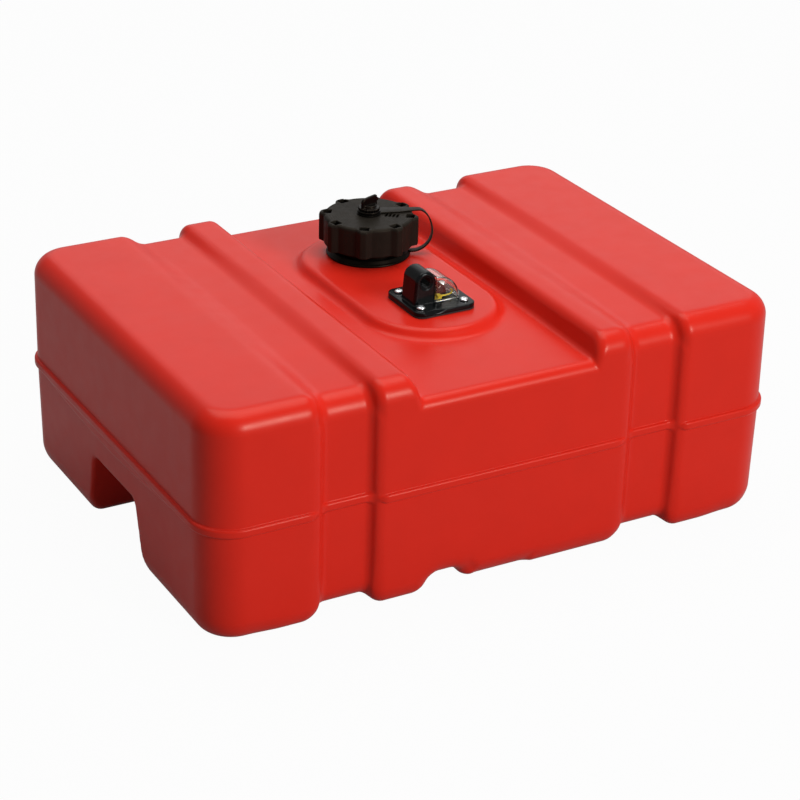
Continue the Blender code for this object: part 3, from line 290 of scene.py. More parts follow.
def skin(shape, axes, passes=2):
    """Points and quads of a shape's surface, found on a box of grid lines and evened out."""
    value = shape(*np.meshgrid(*axes, indexing="ij"))
    cells = tuple(count - 1 for count in value.shape)
    total = np.zeros((int(np.prod(cells)), 3))
    hits = np.zeros(len(total))
    quads = []
    for axis in range(3):
        near = np.take(value, range(cells[axis]), axis)
        far = np.take(value, range(1, cells[axis] + 1), axis)
        crossed = (near < 0) != (far < 0)
        spots = np.argwhere(crossed)
        way = near[crossed] / (near[crossed] - far[crossed])
        places = np.stack([axes[d][spots[:, d]] for d in range(3)], axis=1)
        places[:, axis] += way * (axes[axis][spots[:, axis] + 1] - axes[axis][spots[:, axis]])
        after, last = (axis + 1) % 3, (axis + 2) % 3
        corners = []
        for back, down in ((1, 1), (0, 1), (0, 0), (1, 0)):
            corner = spots.copy()
            corner[:, after] -= back
            corner[:, last] -= down
            corners.append(np.ravel_multi_index(corner.T, cells))
        quad = np.stack(corners, axis=1)
        np.add.at(total, quad.ravel(), np.repeat(places, 4, axis=0))
        np.add.at(hits, quad.ravel(), 1)
        leaving = near[crossed] < 0
        quads.append(np.where(leaving[:, None], quad, quad[:, ::-1]))
    used, faces = np.unique(np.concatenate(quads), return_inverse=True)
    faces = faces.reshape(-1, 4)
    points = total[used] / hits[used][:, None]
    reach = min(float(np.diff(line).min()) for line in axes)
    points = settle(shape, points, reach)
    for _ in range(passes):
        mean = np.zeros_like(points)
        count = np.zeros(len(points))
        for one, other in ((0, 1), (1, 2), (2, 3), (3, 0)):
            for a, b in ((faces[:, one], faces[:, other]), (faces[:, other], faces[:, one])):
                np.add.at(mean, a, points[b])
                np.add.at(count, a, 1)
        points = settle(shape, mean / count[:, None], reach)
    return points, faces


# Mesh and object helpers

def piece(name, points, faces, finish, body, replaces=(), smooth=True, crease=None):
    """A mesh object with one finish. It rides on a body of the frame, where one is given."""
    mesh = bpy.data.meshes.new(name)
    mesh.from_pydata([tuple(p) for p in points], [], [tuple(int(i) for i in face) for face in faces])
    mesh.validate()
    if smooth:
        mesh.shade_smooth()
    if crease is not None:
        mesh.set_sharp_from_angle(angle=crease)
    mesh.materials.append(finish)
    thing = bpy.data.objects.new(name, mesh)
    bpy.context.scene.collection.objects.link(thing)
    if body is not None:
        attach(thing, body)
    if replaces:
        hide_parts(*replaces)
    return thing


def finish_node(node, finish):
    """Give a node of the frame its finish."""
    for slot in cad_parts[node].material_slots:
        slot.link = "OBJECT"
        slot.material = finish


def tube_faces(rows, around, closed_rows=True):
    """Quads between rows of points that each go once round."""
    faces = []
    for row in range(rows if closed_rows else rows - 1):
        after_row = (row + 1) % rows
        for column in range(around):
            after = (column + 1) % around
            faces.append((row * around + column, row * around + after,
                          after_row * around + after, after_row * around + column))
    return faces


def rounded_profile(corners, radius, steps=4):
    """A closed profile whose corners are rounded, as far as its sides leave room."""
    rounded, count, most = [], len(corners), 0.45
    for index, corner in enumerate(corners):
        here = Vector(corner)
        before = Vector(corners[index - 1]) - here
        after = Vector(corners[(index + 1) % count]) - here
        cut = min(radius, before.length * most, after.length * most)
        start, end = here + before.normalized() * cut, here + after.normalized() * cut
        for step in range(steps + 1):
            way = step / steps
            rounded.append(tuple(start * (1 - way) ** 2 + here * 2 * way * (1 - way) + end * way ** 2))
    return rounded


def plain_ring(inner, outer, low, high):
    """Profile of a plain ring, down its outer side."""
    return [(outer, high), (outer, low), (inner, low), (inner, high)]


def turned_piece(name, corners, edge, finish, body, replaces=(), segments=96):
    """A piece turned round the cap's axis; the corners of its profile are (radius, height)."""
    cap = bpy.context.scene.fuel_cap
    profile = rounded_profile(corners, edge)
    turns = [2 * pi * step / segments for step in range(segments)]
    points = [(cap.x + radius * cos(turn), cap.y + radius * sin(turn), height)
              for radius, height in profile for turn in turns]
    faces = [face[::-1] for face in tube_faces(len(profile), segments)]
    piece(name, points, faces, finish, body, replaces)


def sweep(path, section, across=None):
    """Points and faces of a section carried along a path, closed with a cap at each end."""
    points = []
    count = len(path)
    side = None
    for index, spot in enumerate(path):
        along = (path[min(index + 1, count - 1)] - path[max(index - 1, 0)]).normalized()
        if across is not None:
            side = across[index]
        elif side is None:
            side = along.cross(Vector((0, 0, 1)) if abs(along.z) < 0.9 else Vector((0, 1, 0))).normalized()
        side = (side - along * side.dot(along)).normalized()
        up = side.cross(along)
        outline = section(index / (count - 1))
        points += [spot + side * u + up * v for u, v in outline]
    around = len(outline)
    faces = tube_faces(count, around, closed_rows=False)
    faces.append(tuple(range(around))[::-1])
    faces.append(tuple(range((count - 1) * around, count * around)))
    return points, [face[::-1] for face in faces]


def disc(radius, steps):
    """Outline of a round section."""
    return [(radius * cos(2 * pi * i / steps), radius * sin(2 * pi * i / steps)) for i in range(steps)]


def smooth_path(points, steps=8):
    """A curve through points, in steps between each two."""
    points = [Vector(p) for p in points]
    padded = [points[0] * 2 - points[1], *points, points[-1] * 2 - points[-2]]
    path = []
    for index in range(1, len(padded) - 2):
        a, b, c, d = padded[index - 1:index + 3]
        for step in range(steps):
            t = step / steps
            path.append(0.5 * (b * 2 + (c - a) * t + (a * 2 - b * 5 + c * 4 - d) * t ** 2
                               + (b * 3 - a - c * 3 + d) * t ** 3))
    path.append(points[-1])
    return path


# Materials

def feed(tree, node, inputs):
    """Set a node's inputs, each to a value or to another node's output."""
    for name, value in inputs.items():
        if isinstance(value, bpy.types.NodeSocket):
            tree.links.new(value, node.inputs[name])
        else:
            node.inputs[name].default_value = value


def add_node(tree, kind, inputs=None, **settings):
    """Add one node with its settings and inputs."""
    node = tree.nodes.new(kind)
    for name, value in settings.items():
        setattr(node, name, value)
    feed(tree, node, inputs or {})
    return node


def empty_tree(owner):
    """The emptied node tree of a material or a world."""
    owner.use_nodes = True
    owner.node_tree.nodes.clear()
    return owner.node_tree


def new_finish(name):
    """An empty Principled material: its tree, shader and the object's own coordinates."""
    finish = bpy.data.materials.new(name)
    tree = empty_tree(finish)
    shader = add_node(tree, "ShaderNodeBsdfPrincipled")
    add_node(tree, "ShaderNodeOutputMaterial", {"Surface": shader.outputs["BSDF"]})
    place = add_node(tree, "ShaderNodeTexCoord").outputs["Object"]
    return finish, tree, shader, place


def per_mm(size):
    """Texture scale whose features are about this many millimetres across."""
    return 1000 / size


def tinted(tree, place, base, size, low, high):
    """The base colour, a little darker and lighter in patches of a size in millimetres."""
    patches = add_node(tree, "ShaderNodeTexNoise", {"Vector": place, "Scale": per_mm(size), "Detail": 3.0})
    ramp = add_node(tree, "ShaderNodeValToRGB", {"Fac": patches.outputs["Fac"]})
    for stop, position, gain in zip(ramp.color_ramp.elements, (0.3, 0.7), (low, high)):
        stop.position = position
        stop.color = (*[min(value * gain, 1) for value in base], 1)
    return ramp.outputs["Color"]


def between(tree, place, size, low, high):
    """A value that wanders between low and high over patches of a size in millimetres."""
    patches = add_node(tree, "ShaderNodeTexNoise", {"Vector": place, "Scale": per_mm(size), "Detail": 2.0})
    span = add_node(tree, "ShaderNodeMapRange", {"Value": patches.outputs["Fac"], "From Min": 0.3,
                                                 "From Max": 0.7, "To Min": low, "To Max": high})
    return span.outputs["Result"]


def bumpy(tree, place, size, detail, distance, strength, below=None):
    """The normal of a grain of a size in millimetres, laid over another normal where one is given."""
    grain = add_node(tree, "ShaderNodeTexNoise", {"Vector": place, "Scale": per_mm(size), "Detail": detail})
    inputs = {"Height": grain.outputs["Fac"], "Distance": distance, "Strength": strength}
    if below is not None:
        inputs["Normal"] = below
    return add_node(tree, "ShaderNodeBump", inputs).outputs["Normal"]


def blow_moulded_polyethylene(name, base):
    """Satin skin of the mould: a fine grain breaks up the shine, and the wall is very slightly wavy."""
    finish, tree, shader, place = new_finish(name)
    wavy = bumpy(tree, place, 60, 1.0, 0.0012, 0.25)
    feed(tree, shader, {"Base Color": tinted(tree, place, base, 45, 0.98, 1.02),
                        "Roughness": between(tree, place, 20, 0.28, 0.34),
                        "Normal": bumpy(tree, place, 0.9, 2.0, 0.00006, 0.22, wavy),
                        "IOR": 1.51, "Specular IOR Level": 0.19,
                        "Specular Tint": (*linear("FFEEDC"), 1)})
    return finish


def injection_moulded_plastic(name, base, low=0.42, high=0.52, axis=None, shine=0.23):
    """Plastic from a mould with an eroded texture: dull, and slightly warm where light grazes it.

    Round an axis it also keeps the faint turning marks of its mould.
    """
    finish, tree, shader, place = new_finish(name)
    normal = bumpy(tree, place, 0.5, 3.0, 0.00008, 0.35)
    if axis:
        centred = add_node(tree, "ShaderNodeMapping", {"Vector": place, "Location": (-axis[0], -axis[1], 0)})
        rings = add_node(tree, "ShaderNodeTexWave", {"Vector": centred.outputs["Vector"], "Scale": per_mm(9),
                                                     "Distortion": 0.6, "Detail": 1.0},
                         wave_type="RINGS", rings_direction="Z")
        normal = add_node(tree, "ShaderNodeBump", {"Height": rings.outputs["Fac"], "Distance": 0.00015,
                                                   "Strength": 0.6, "Normal": normal}).outputs["Normal"]
    feed(tree, shader, {"Base Color": tinted(tree, place, base, 14, 0.88, 1.1),
                        "Roughness": between(tree, place, 6, low, high),
                        "Normal": normal, "IOR": 1.49, "Specular IOR Level": shine,
                        "Specular Tint": (*linear("FFE2C4"), 1)})
    return finish


def gloss_acetal(name, base, low=0.13, high=0.19):
    """Polished dark acetal: crisp white reflections over a near black body, with faint sink marks."""
    finish, tree, shader, place = new_finish(name)
    feed(tree, shader, {"Base Color": tinted(tree, place, base, 10, 0.85, 1.15),
                        "Roughness": between(tree, place, 3, low, high),
                        "Normal": bumpy(tree, place, 9, 1.0, 0.0002, 0.3),
                        "IOR": 1.48, "Specular IOR Level": 0.15})
    return finish


def bright_metal(name, base):
    """Zinc plate, brass or drawn wire: a bright metal whose fine marks spread the highlights."""
    finish, tree, shader, place = new_finish(name)
    feed(tree, shader, {"Base Color": tinted(tree, place, base, 2, 0.85, 1.05),
                        "Roughness": between(tree, place, 1, 0.2, 0.34),
                        "Normal": bumpy(tree, place, 0.4, 4.0, 0.00003, 0.4), "Metallic": 1.0})
    return finish


def clear_acrylic(name):
    """Clear moulded cover: nearly invisible but for the white reflections along its curve."""
    finish, tree, shader, place = new_finish(name)
    feed(tree, shader, {"Base Color": (*linear("FAFAF6"), 1),
                        "Roughness": between(tree, place, 5, 0.01, 0.05),
                        "IOR": 1.49, "Transmission Weight": 1.0})
    return finish


def soft_rubber(name, base, size=0.3):
    """Nitrile rubber: a dead black with a powdery sheen."""
    finish, tree, shader, place = new_finish(name)
    feed(tree, shader, {"Base Color": tinted(tree, place, base, 8, 0.85, 1.2),
                        "Roughness": between(tree, place, 4, 0.65, 0.85),
                        "Normal": bumpy(tree, place, size, 3.0, 0.0001, 0.4), "IOR": 1.52})
    return finish


# Pieces

def hollow_wall(x, way, depth, middle, floor, left_slope, right_slope):
    """Distance into a hollow with sloping walls; way is 1 at its floor and 0 at the surface."""
    left = x - middle + floor / 2 + left_slope * (1 - way)
    right = middle + floor / 2 + right_slope * (1 - way) - x
    return np.minimum(left / np.hypot(1, left_slope / depth), right / np.hypot(1, right_slope / depth))


def tank_shape(size, cap, sender):
    """The tank's skin as one shape: body, grooves, recess, pad, flange, hand-holds and inner space."""
    half_length = size.length / 2 - size.flange_proud
    half_width = size.width / 2 - size.flange_proud
    grooves = [(place * size.length, size.groove_floor, size.groove_left_slope, size.groove_right_slope)
               for place in (size.groove_left, size.groove_right)]
    recess = (size.recess_place * size.length, size.recess_floor, size.recess_slope, size.recess_slope)
    channel = (size.channel_place * size.length, size.channel_floor, size.channel_slope, size.channel_slope)
    foot_start = channel[0] + size.channel_floor / 2 + size.channel_slope
    foot_end = grooves[1][0] - size.groove_floor / 2 - size.groove_left_slope
    foot_middle, foot_length = (foot_start + foot_end) / 2, foot_end - foot_start
    floor_height = size.height - size.recess_depth
    pad_top = floor_height + size.pad_height
    flange_foot = size.flange_edge / 8
    soft_level, soft_span = 0.07, 0.06
    port_radius, port_low, neck_low = 0.0235, 0.19, 0.12
    # Room inside for the float, its arm and the pickup tube
    rooms = [((-0.021, -0.067, 0.014), (0.233, 0.005, 0.2085)),
             ((-0.021, -0.067, 0.1), (0.070, 0.005, 0.2203))]

    def shape(x, y, z):
        # Walls with their draft, the parting flange, and the bowed lip under it at the left end
        level = np.abs(z - size.flange_height)
        draft = level * np.where(z < size.flange_height, size.lower_draft, size.upper_draft)
        along = x / (1 - draft / half_length)
        wide = y / (1 - draft / half_width)
        plan = overlap(np.abs(along) - half_length, np.abs(wide) - half_width, size.plan_radius)
        band = level - size.flange_band / 2
        ridge = overlap(plan - size.flange_proud, band, size.flange_edge)
        core_ridge = overlap(plan - size.flange_proud + size.groove_side, band, size.flange_edge)
        bow = np.clip(1 - ((y - size.lip_middle) / (size.lip_length / 2)) ** 2, 0, 1)
        lip_low = size.flange_height - size.flange_band / 2 - size.lip_drop * bow
        lip = overlap(plan - size.lip_proud, slab(z, lip_low, size.flange_height), size.lip_proud)
        lip = np.maximum(lip, x + half_length / 2)

        # Raised pad in the sunken middle
        flank = np.hypot(x - size.pad_x, y - np.clip(y, size.pad_front, size.pad_back)) - size.pad_radius
        spread = size.pad_flank / size.pad_height
        flank = (flank - spread * np.minimum(pad_top - z, 2 * size.pad_height)) / np.hypot(1, spread)
        pad = overlap(z - pad_top, flank, size.pad_edge)

        # Bottom with its channel, rounder at the ends and under the middle foot
        under = hollow_wall(x, z / size.channel_depth, size.channel_depth, *channel)
        bottom = union(overlap(-z, under, size.low_rib_edge), size.channel_depth - z, size.rib_foot)
        near_end = 1 - ease((half_length - np.abs(along)) / size.plan_radius - 1)
        on_foot = 1 - ease((np.abs(x - foot_middle) - foot_length / 2) / size.channel_slope)
        low_edge = size.low_edge + (size.end_low_edge - size.low_edge) * np.maximum(on_foot, near_end)

        # Top with its sunken middle, for the full body and for the core that the strap grooves cut down to
        wall = hollow_wall(x, (size.height - z) / size.recess_depth, size.recess_depth, *recess)
        crown = 1 - np.clip(y / half_width, -1, 1) ** 2

        def upper(inset, drop):
            ribs = overlap(plan + inset, z - size.height + drop, size.top_edge)
            ribs = overlap(ribs, wall + drop, size.recess_rib_edge)
            low = overlap(plan + inset, z - floor_height - size.recess_crown * crown + drop, size.recess_edge)
            return union(ribs, low, size.rib_foot * np.clip(-(plan + inset) / size.recess_edge, 0, 1))

        full = overlap(union(upper(0, 0), pad, size.pad_foot), bottom, low_edge)
        depth = size.groove_depth * (1 - size.groove_fade * crown)
        core = overlap(upper(size.groove_side, depth), bottom + size.groove_low, low_edge)
        deep = core - full
        edge = size.rib_edge + (size.low_rib_edge - size.rib_edge) * ease((soft_level - z) / soft_span)
        body = union(full, np.minimum(ridge, lip), flange_foot)
        for groove in grooves:
            body = overlap(body, hollow_wall(x, -full / deep, deep, *groove), edge)
        body = union(body, union(core, core_ridge, flange_foot), size.rib_foot)

        # Hand-holds, wider towards the floor
        rise = np.clip(z / size.hold_height, -0.2, 1)
        hold_side = np.abs(y - size.hold_y) - size.hold_width / 2 - size.hold_flare * (1 - rise)
        hold = overlap(half_length - size.hold_depth - np.abs(x), hold_side, size.hold_radius)
        hold = overlap(hold, z - size.hold_height, size.hold_radius)
        rim = size.hold_rim + (size.hold_low_rim - size.hold_rim) * ease(1 - z / size.hold_low_rim / 3)
        body = overlap(body, -hold, rim)

        port = np.hypot(x - sender.x, y - sender.y) - port_radius
        neck = np.hypot(x - cap.x, y - cap.y) - cap.neck_bore
        inside = np.minimum(np.maximum(port, port_low - z), np.maximum(neck, neck_low - z))
        for low, high in rooms:
            inside = np.minimum(inside, block(x, y, z, low, high))
        return np.maximum(body, -inside)

    return shape


def tank_grid(size):
    """Grid lines for the tank, close together where it curves."""
    margin, corner, rim, beside_pad, beside_edge = 0.004, 0.046, 0.008, 0.018, 0.012
    curve, crease, fine, coarse, tall = 0.0025, 0.0018, 0.0009, 0.006, 0.005
    reach, side = size.length / 2 + margin, size.width / 2 + margin
    inner, beside = size.length / 2 - size.hold_depth, size.pad_radius + beside_pad
    x_zones = [(-inner - 0.006, -inner + 0.012, curve), (inner - 0.012, inner + 0.006, curve),
               (size.pad_x - beside, size.pad_x + beside, curve)]
    y_zones = [(size.pad_front - beside, size.pad_back + beside, curve)]
    for zones, end in ((x_zones, reach), (y_zones, side)):
        for width, step in ((corner, curve), (rim, fine)):
            zones += [(-end, width - end, step), (end - width, end, step)]
    for middle, floor in ((size.groove_left, size.groove_floor), (size.groove_right, size.groove_floor),
                          (size.recess_place, size.recess_floor)):
        for way in (-1, 1):
            edge = middle * size.length + way * (floor / 2 + size.groove_right_slope / 2)
            x_zones.append((edge - beside_edge, edge + beside_edge, crease))
    ridge, top = size.flange_height + size.flange_band / 2, size.height + margin
    z_zones = [(-margin, 0.026, 0.0021), (0.064, 0.084, curve), (ridge - 0.018, ridge + 0.003, 0.0011),
               (ridge - 0.002, ridge + 0.001, 0.0005), (0.196, top, 0.0017)]
    return (grid_lines(-reach, reach, coarse, x_zones), grid_lines(-side, side, coarse, y_zones),
            grid_lines(-margin, top, tall, z_zones))


class FUELTANK_OT_skin(Operator):
    """Mould the tank's outer skin"""
    bl_idname = "fueltank.skin"
    bl_label = "Tank skin"

    def execute(self, context):
        size = context.scene.fuel_tank
        finish = blow_moulded_polyethylene("blow_moulded_polyethylene", size.red)
        shape = tank_shape(size, context.scene.fuel_cap, context.scene.fuel_sender)
        points, faces = skin(shape, tank_grid(size))
        piece("tank_skin", points, faces, finish, "tank", ["tank_shell"])
        return {"FINISHED"}


class FUELTANK_OT_neck(Operator):
    """Turn the filler neck and wind its thread"""
    bl_idname = "fueltank.neck"
    bl_label = "Filler neck"

    def execute(self, context):
        cap = context.scene.fuel_cap
        finish = blow_moulded_polyethylene("neck_polyethylene", context.scene.fuel_tank.red)
        corners = plain_ring(cap.neck_bore, cap.neck_radius, PAD_TOP - 0.003, PAD_TOP + cap.neck_height)
        turned_piece("filler_neck", corners, 0.0012, finish, "tank")
        low, pitch, turns, steps = PAD_TOP + 0.016, 0.006, 2, 96
        radius, crest = cap.neck_radius + 0.0006, 0.0018
        path = [Vector((cap.x + radius * cos(2 * pi * turns * i / steps),
                        cap.y + radius * sin(2 * pi * turns * i / steps),
                        low + pitch * turns * i / steps)) for i in range(steps + 1)]
        points, faces = sweep(path, lambda way: disc(crest * min(1, 0.2 + 8 * way, 0.2 + 8 * (1 - way)), 10))
        piece("neck_thread", points, faces, finish, "tank")
        return {"FINISHED"}


def strap_line(cap):
    """Middle line of the tether's strap and the direction across it, from the eye to the ring."""
    start, out = CAP_BORE + 0.0020, cap.lobe_radius + 0.015
    top, low = CAP_TOP + GAP + cap.strap_thickness / 2, PAD_TOP + GAP + 0.00325
    ring, height = cap.ring_radius - 0.001, top - low
    first_heading, swing, bends = radians(-14), radians(-16), 9
    offset, straight_from, straightens = 0.0042, 0.040, 0.026
    path = [(start, top, 0.0), ((start + cap.lobe_radius) / 2, top, 0.0), (cap.lobe_radius, top, 0.0)]
    for step in range(1, bends):
        turn = pi / 2 - pi * step / bends
        base, level = cap.lobe_radius if turn > 0 else ring, low + height / 2 + height / 2 * sin(turn)
        path.append((base + (out - base) * cos(turn), level, step / bends))
    path.append((ring, low, 1.0))
    spots, across = [], []
    for radius, z, way in path:
        heading = first_heading + swing * float(ease(way))
        beside = offset * float(ease((straight_from - radius) / straightens)) if way == 0 else 0
        spots.append((cap.x + radius * cos(heading) - beside * sin(heading),
                      cap.y + radius * sin(heading) + beside * cos(heading), z))
        across.append((-sin(heading), cos(heading), 0))
    return smooth_path(spots), smooth_path(across)


class FUELTANK_OT_tether(Operator):
    """Mould the tether's ring, strap and eye"""
    bl_idname = "fueltank.tether"
    bl_label = "Tether"

    def execute(self, context):
        cap = context.scene.fuel_cap
        finish = injection_moulded_plastic("tether_polypropylene", linear("050504"), 0.3, 0.4, shine=0.1)
        low, high = (corner.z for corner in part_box("tether_ring"))
        outer, bore = cap.ring_radius, cap.neck_radius + 0.0012
        corners = [(outer - 0.004, high), (outer - 0.0015, low + 0.0028), (outer, low + 0.0018), (outer, low),
                   (bore, low), (bore, high)]
        turned_piece("tether_ring_moulding", corners, 0.0008, finish, "tank", ["tether_ring"])
        # Painted shade: a black band from the ring up to just under the cap's skirt stands for the dark gap
        # under the cap, where the red neck would otherwise show.
        corners = plain_ring(bore, bore + 0.0034, high - 0.001, SKIRT_LOW - 0.0006)
        turned_piece("painted_shade_collar", corners, 0.0006, finish, "tank")
        path, across = strap_line(cap)
        thick, soft, widening, widens_over = cap.strap_thickness / 2, 0.00045, 0.9, 0.2

        def band(way):
            wide = cap.strap_width / 2 * (1 + widening * (1 - float(ease(way / widens_over))))
            return rounded_profile([(-wide, -thick), (wide, -thick), (wide, thick), (-wide, thick)], soft, 3)

        points, faces = sweep(path, band, across)
        dark = injection_moulded_plastic("strap_polypropylene", linear("100E0B"), 0.35, 0.45, shine=0.13)
        strap = piece("tether_band", points, faces, dark, None, ["tether_strap"],
                      crease=radians(50))
        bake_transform(strap)
        eye_low, eye_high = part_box("tether_eye")
        corners = plain_ring(CAP_BORE, (eye_high.x - eye_low.x) / 2, eye_low.z, eye_high.z)
        turned_piece("tether_eye_moulding", corners, 0.0005, finish, "cap_carrier", ["tether_eye"],
                     segments=64)
        return {"FINISHED"}


def cap_shape(cap):
    """The cap's lobed shell: slots through its top, four small ticks in it and a hollow under it."""
    skirt_edge, hollow_edge, slot_corner, slot_rim, slot_depth = 0.0008, 0.001, 0.0006, 0.0003, 0.002
    tick_radius, tick_depth, last_tick = 0.0012, 0.0026, 3
    step = 2 * pi / cap.lobes

    def shape(x, y, z):
        x, y = x - cap.x, y - cap.y
        radius, turn = np.hypot(x, y), np.arctan2(y, x) - cap.lobe_turn
        local = (turn + step / 2) % step - step / 2
        along, aside = radius * np.cos(local) - cap.slot_radius, radius * np.sin(local)
        swell = 1 - ease((np.abs(aside) - cap.lobe_width / 2) / cap.lobe_flank)
        wall = cap.valley_radius + (cap.lobe_radius - cap.valley_radius) * swell
        outer = overlap(radius - wall, z - CAP_TOP, cap.edge)
        outer = overlap(outer, SKIRT_LOW - z, skirt_edge)
        hollow = overlap(radius - wall + cap.wall, z - CAP_CEILING, hollow_edge)
        shell = np.maximum(outer, -hollow)
        slot = overlap(np.abs(along) - cap.slot_width / 2, np.abs(aside) - cap.slot_length / 2, slot_corner)
        slot = np.maximum(slot, CAP_CEILING - slot_depth - z)
        shell = overlap(shell, -slot, slot_rim)
        out = x * cos(cap.tick_turn) + y * sin(cap.tick_turn) - cap.tick_start
        beside = np.abs(y * cos(cap.tick_turn) - x * sin(cap.tick_turn)) - cap.tick_length / 2
        nearest = out - cap.tick_gap * np.clip(np.round(out / cap.tick_gap), 0, last_tick)
        ticks = np.hypot(nearest, np.maximum(beside, 0)) - tick_radius
        shell = np.maximum(shell, -np.maximum(ticks, CAP_TOP - tick_depth - z))
        return np.maximum(shell, CAP_BORE - radius)

    return shape


class FUELTANK_OT_cap(Operator):
    """Mould the lobed filler cap"""
    bl_idname = "fueltank.cap"
    bl_label = "Filler cap"

    def execute(self, context):
        cap = context.scene.fuel_cap
        finish = injection_moulded_plastic("cap_polypropylene", cap.black, axis=(cap.x, cap.y), shine=0.08)
        reach, margin, step = cap.lobe_radius + 0.002, 0.002, 0.00078
        axes = even_lines((cap.x - reach, cap.y - reach, SKIRT_LOW - margin),
                          (cap.x + reach, cap.y + reach, CAP_TOP + margin), step)
        points, faces = skin(cap_shape(cap), axes)
        piece("cap_cover", points, faces, finish, "cap", ["cap_shell"])
        dull = injection_moulded_plastic("insert_polypropylene", linear("060505"), 0.75, 0.85)
        finish_node("cap_insert", dull)
        finish_node("cap_gasket", soft_rubber("nitrile_gasket", linear("141414")))
        return {"FINISHED"}


def knob_shape(cap, bottom, disc_low, top):
    """The vent's knob: a notched disc and hub with a sloping wing on them, and the stem under them."""
    notches, notch_depth, disc_height, disc_edge = 24, 0.0003, 0.0028, 0.0007
    hub_radius, hub_height, stem_radius, fillet = 0.0078, 0.0054, 0.0042, 0.0008
    wing_fall, wing_edge, wing_foot, sunk = 0.0016, 0.0012, 0.001, 0.001
    across, up = cos(cap.wing_turn), sin(cap.wing_turn)

    def shape(x, y, z):
        x, y = x - cap.x, y - cap.y
        radius = np.hypot(x, y)
        along, aside = x * across + y * up, y * across - x * up
        notch = notch_depth * np.cos(np.arctan2(y, x) * notches) * (radius > 0.008)
        knob = overlap(radius - cap.knob_radius + notch, slab(z - disc_low, 0, disc_height), disc_edge)
        hub = overlap(radius - hub_radius, slab(z - disc_low, 0, hub_height), fillet)
        knob = union(knob, hub, fillet)
        crown = top - wing_fall * np.clip(0.5 - along / cap.wing_length, 0, 1) ** 2
        nose = 0.003 - 0.1 * np.clip(along, -0.006, 0.014)
        wing = overlap(np.abs(along) - cap.wing_length / 2, z - crown, nose)
        wing = overlap(wing, np.abs(aside) - cap.wing_thickness / 2, wing_edge)
        knob = union(knob, np.maximum(wing, disc_low + sunk - z), wing_foot)
        stem = np.maximum(radius - stem_radius, np.maximum(bottom - z, z - disc_low - sunk))
        return np.minimum(knob, stem)

    return shape


class FUELTANK_OT_vent(Operator):
    """Mould the vent's bush and its winged knob"""
    bl_idname = "fueltank.vent"
    bl_label = "Vent"

    def execute(self, context):
        cap = context.scene.fuel_cap
        finish = injection_moulded_plastic("vent_polypropylene", linear("060505"), 0.28, 0.38, shine=0.15)
        low, high = (corner.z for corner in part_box("vent_bush"))
        bore, collar, barrel, catch, hole = 0.0046, 0.0122, 0.008, 0.0092, 0.0014
        collar_low, floor = high - 0.0026, low + 0.0014
        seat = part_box("cap_insert")[1].z - 0.0024 - GAP
        corners = [(bore, high), (collar, high), (collar, collar_low), (barrel, collar_low), (barrel, seat),
                   (catch, seat), (barrel, low), (hole, low), (hole, floor), (bore, floor)]
        turned_piece("vent_bush_moulding", corners, 0.0006, finish, "cap", ["vent_bush"], segments=72)
        bottom, top = (corner.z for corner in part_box("vent_knob"))
        reach, margin, step = 0.0125, 0.001, 0.00042
        axes = even_lines((cap.x - reach, cap.y - reach, bottom - margin),
                          (cap.x + reach, cap.y + reach, top + margin), step)
        points, faces = skin(knob_shape(cap, bottom, high + GAP, top), axes)
        piece("vent_knob_moulding", points, faces, finish, "vent_screw", ["vent_knob"])
        finish_node("vent_seal", soft_rubber("vent_seal_rubber", linear("161616")))
        return {"FINISHED"}


def plate_shape(size):
    """The sender plate with its outlet tower, in one glossy moulding."""
    half, tower_half = size.size / 2 - size.corner, size.tower_width / 2
    axis, front = PLATE_TOP + size.axis_height, size.y + size.tower_front
    screws = [(size.x + way * 0.02475, size.y + other * 0.023) for way in (-1, 1) for other in (-1, 1)]
    hole_radius, tower_flare, tower_edge, tower_foot, mouth_bevel = 0.0026, 0.002, 0.0030, 0.0007, 0.0013
    slot_x, slot_y, slot_left, slot_right, slot_half = size.x + 0.0025, size.y - 0.006, 0.0038, 0.0058, 0.0036
    spigot_y, spigot_radius, spigot_length = front + size.outlet_depth - 0.004, 0.0034, 0.0138

    def shape(x, y, z):
        aside, ahead = np.abs(x - size.x), np.abs(y - size.y)
        outline = np.hypot(np.maximum(aside - half, 0), np.maximum(ahead - half, 0))
        outline = outline + np.minimum(np.maximum(aside, ahead) - half, 0) - size.corner
        plate = np.maximum(overlap(outline, z - PLATE_TOP, size.edge), PLATE_LOW - z)
        flare = tower_flare * np.clip((axis - z) / size.axis_height, 0, 1)
        sides = np.maximum(size.tower_x - tower_half - flare - x, x - size.tower_x - tower_half)
        bore = np.hypot(x - size.tower_x, z - axis)
        tower = np.where(z > axis, bore - tower_half, sides)
        tower = overlap(tower, slab(y - front, 0, size.tower_length), tower_edge)
        solid = union(plate, np.maximum(tower, PLATE_LOW - z), tower_foot)
        bevel = np.maximum(mouth_bevel - (y - front), 0)
        mouth = np.maximum(bore - size.outlet_radius - bevel, y - front - size.outlet_depth)
        solid = np.maximum(solid, -mouth)
        holes = np.min([np.hypot(x - sx, y - sy) for sx, sy in screws], axis=0) - hole_radius
        solid = np.maximum(solid, -holes)
        slot = np.maximum(slab(x - slot_x, -slot_left, slot_right), np.abs(y - slot_y) - slot_half)
        solid = np.maximum(solid, -slot)
        spigot = np.hypot(x - size.tower_x, y - spigot_y) - spigot_radius
        return np.minimum(solid, np.maximum(spigot, slab(z - PLATE_LOW, -spigot_length, 0.001)))

    return shape


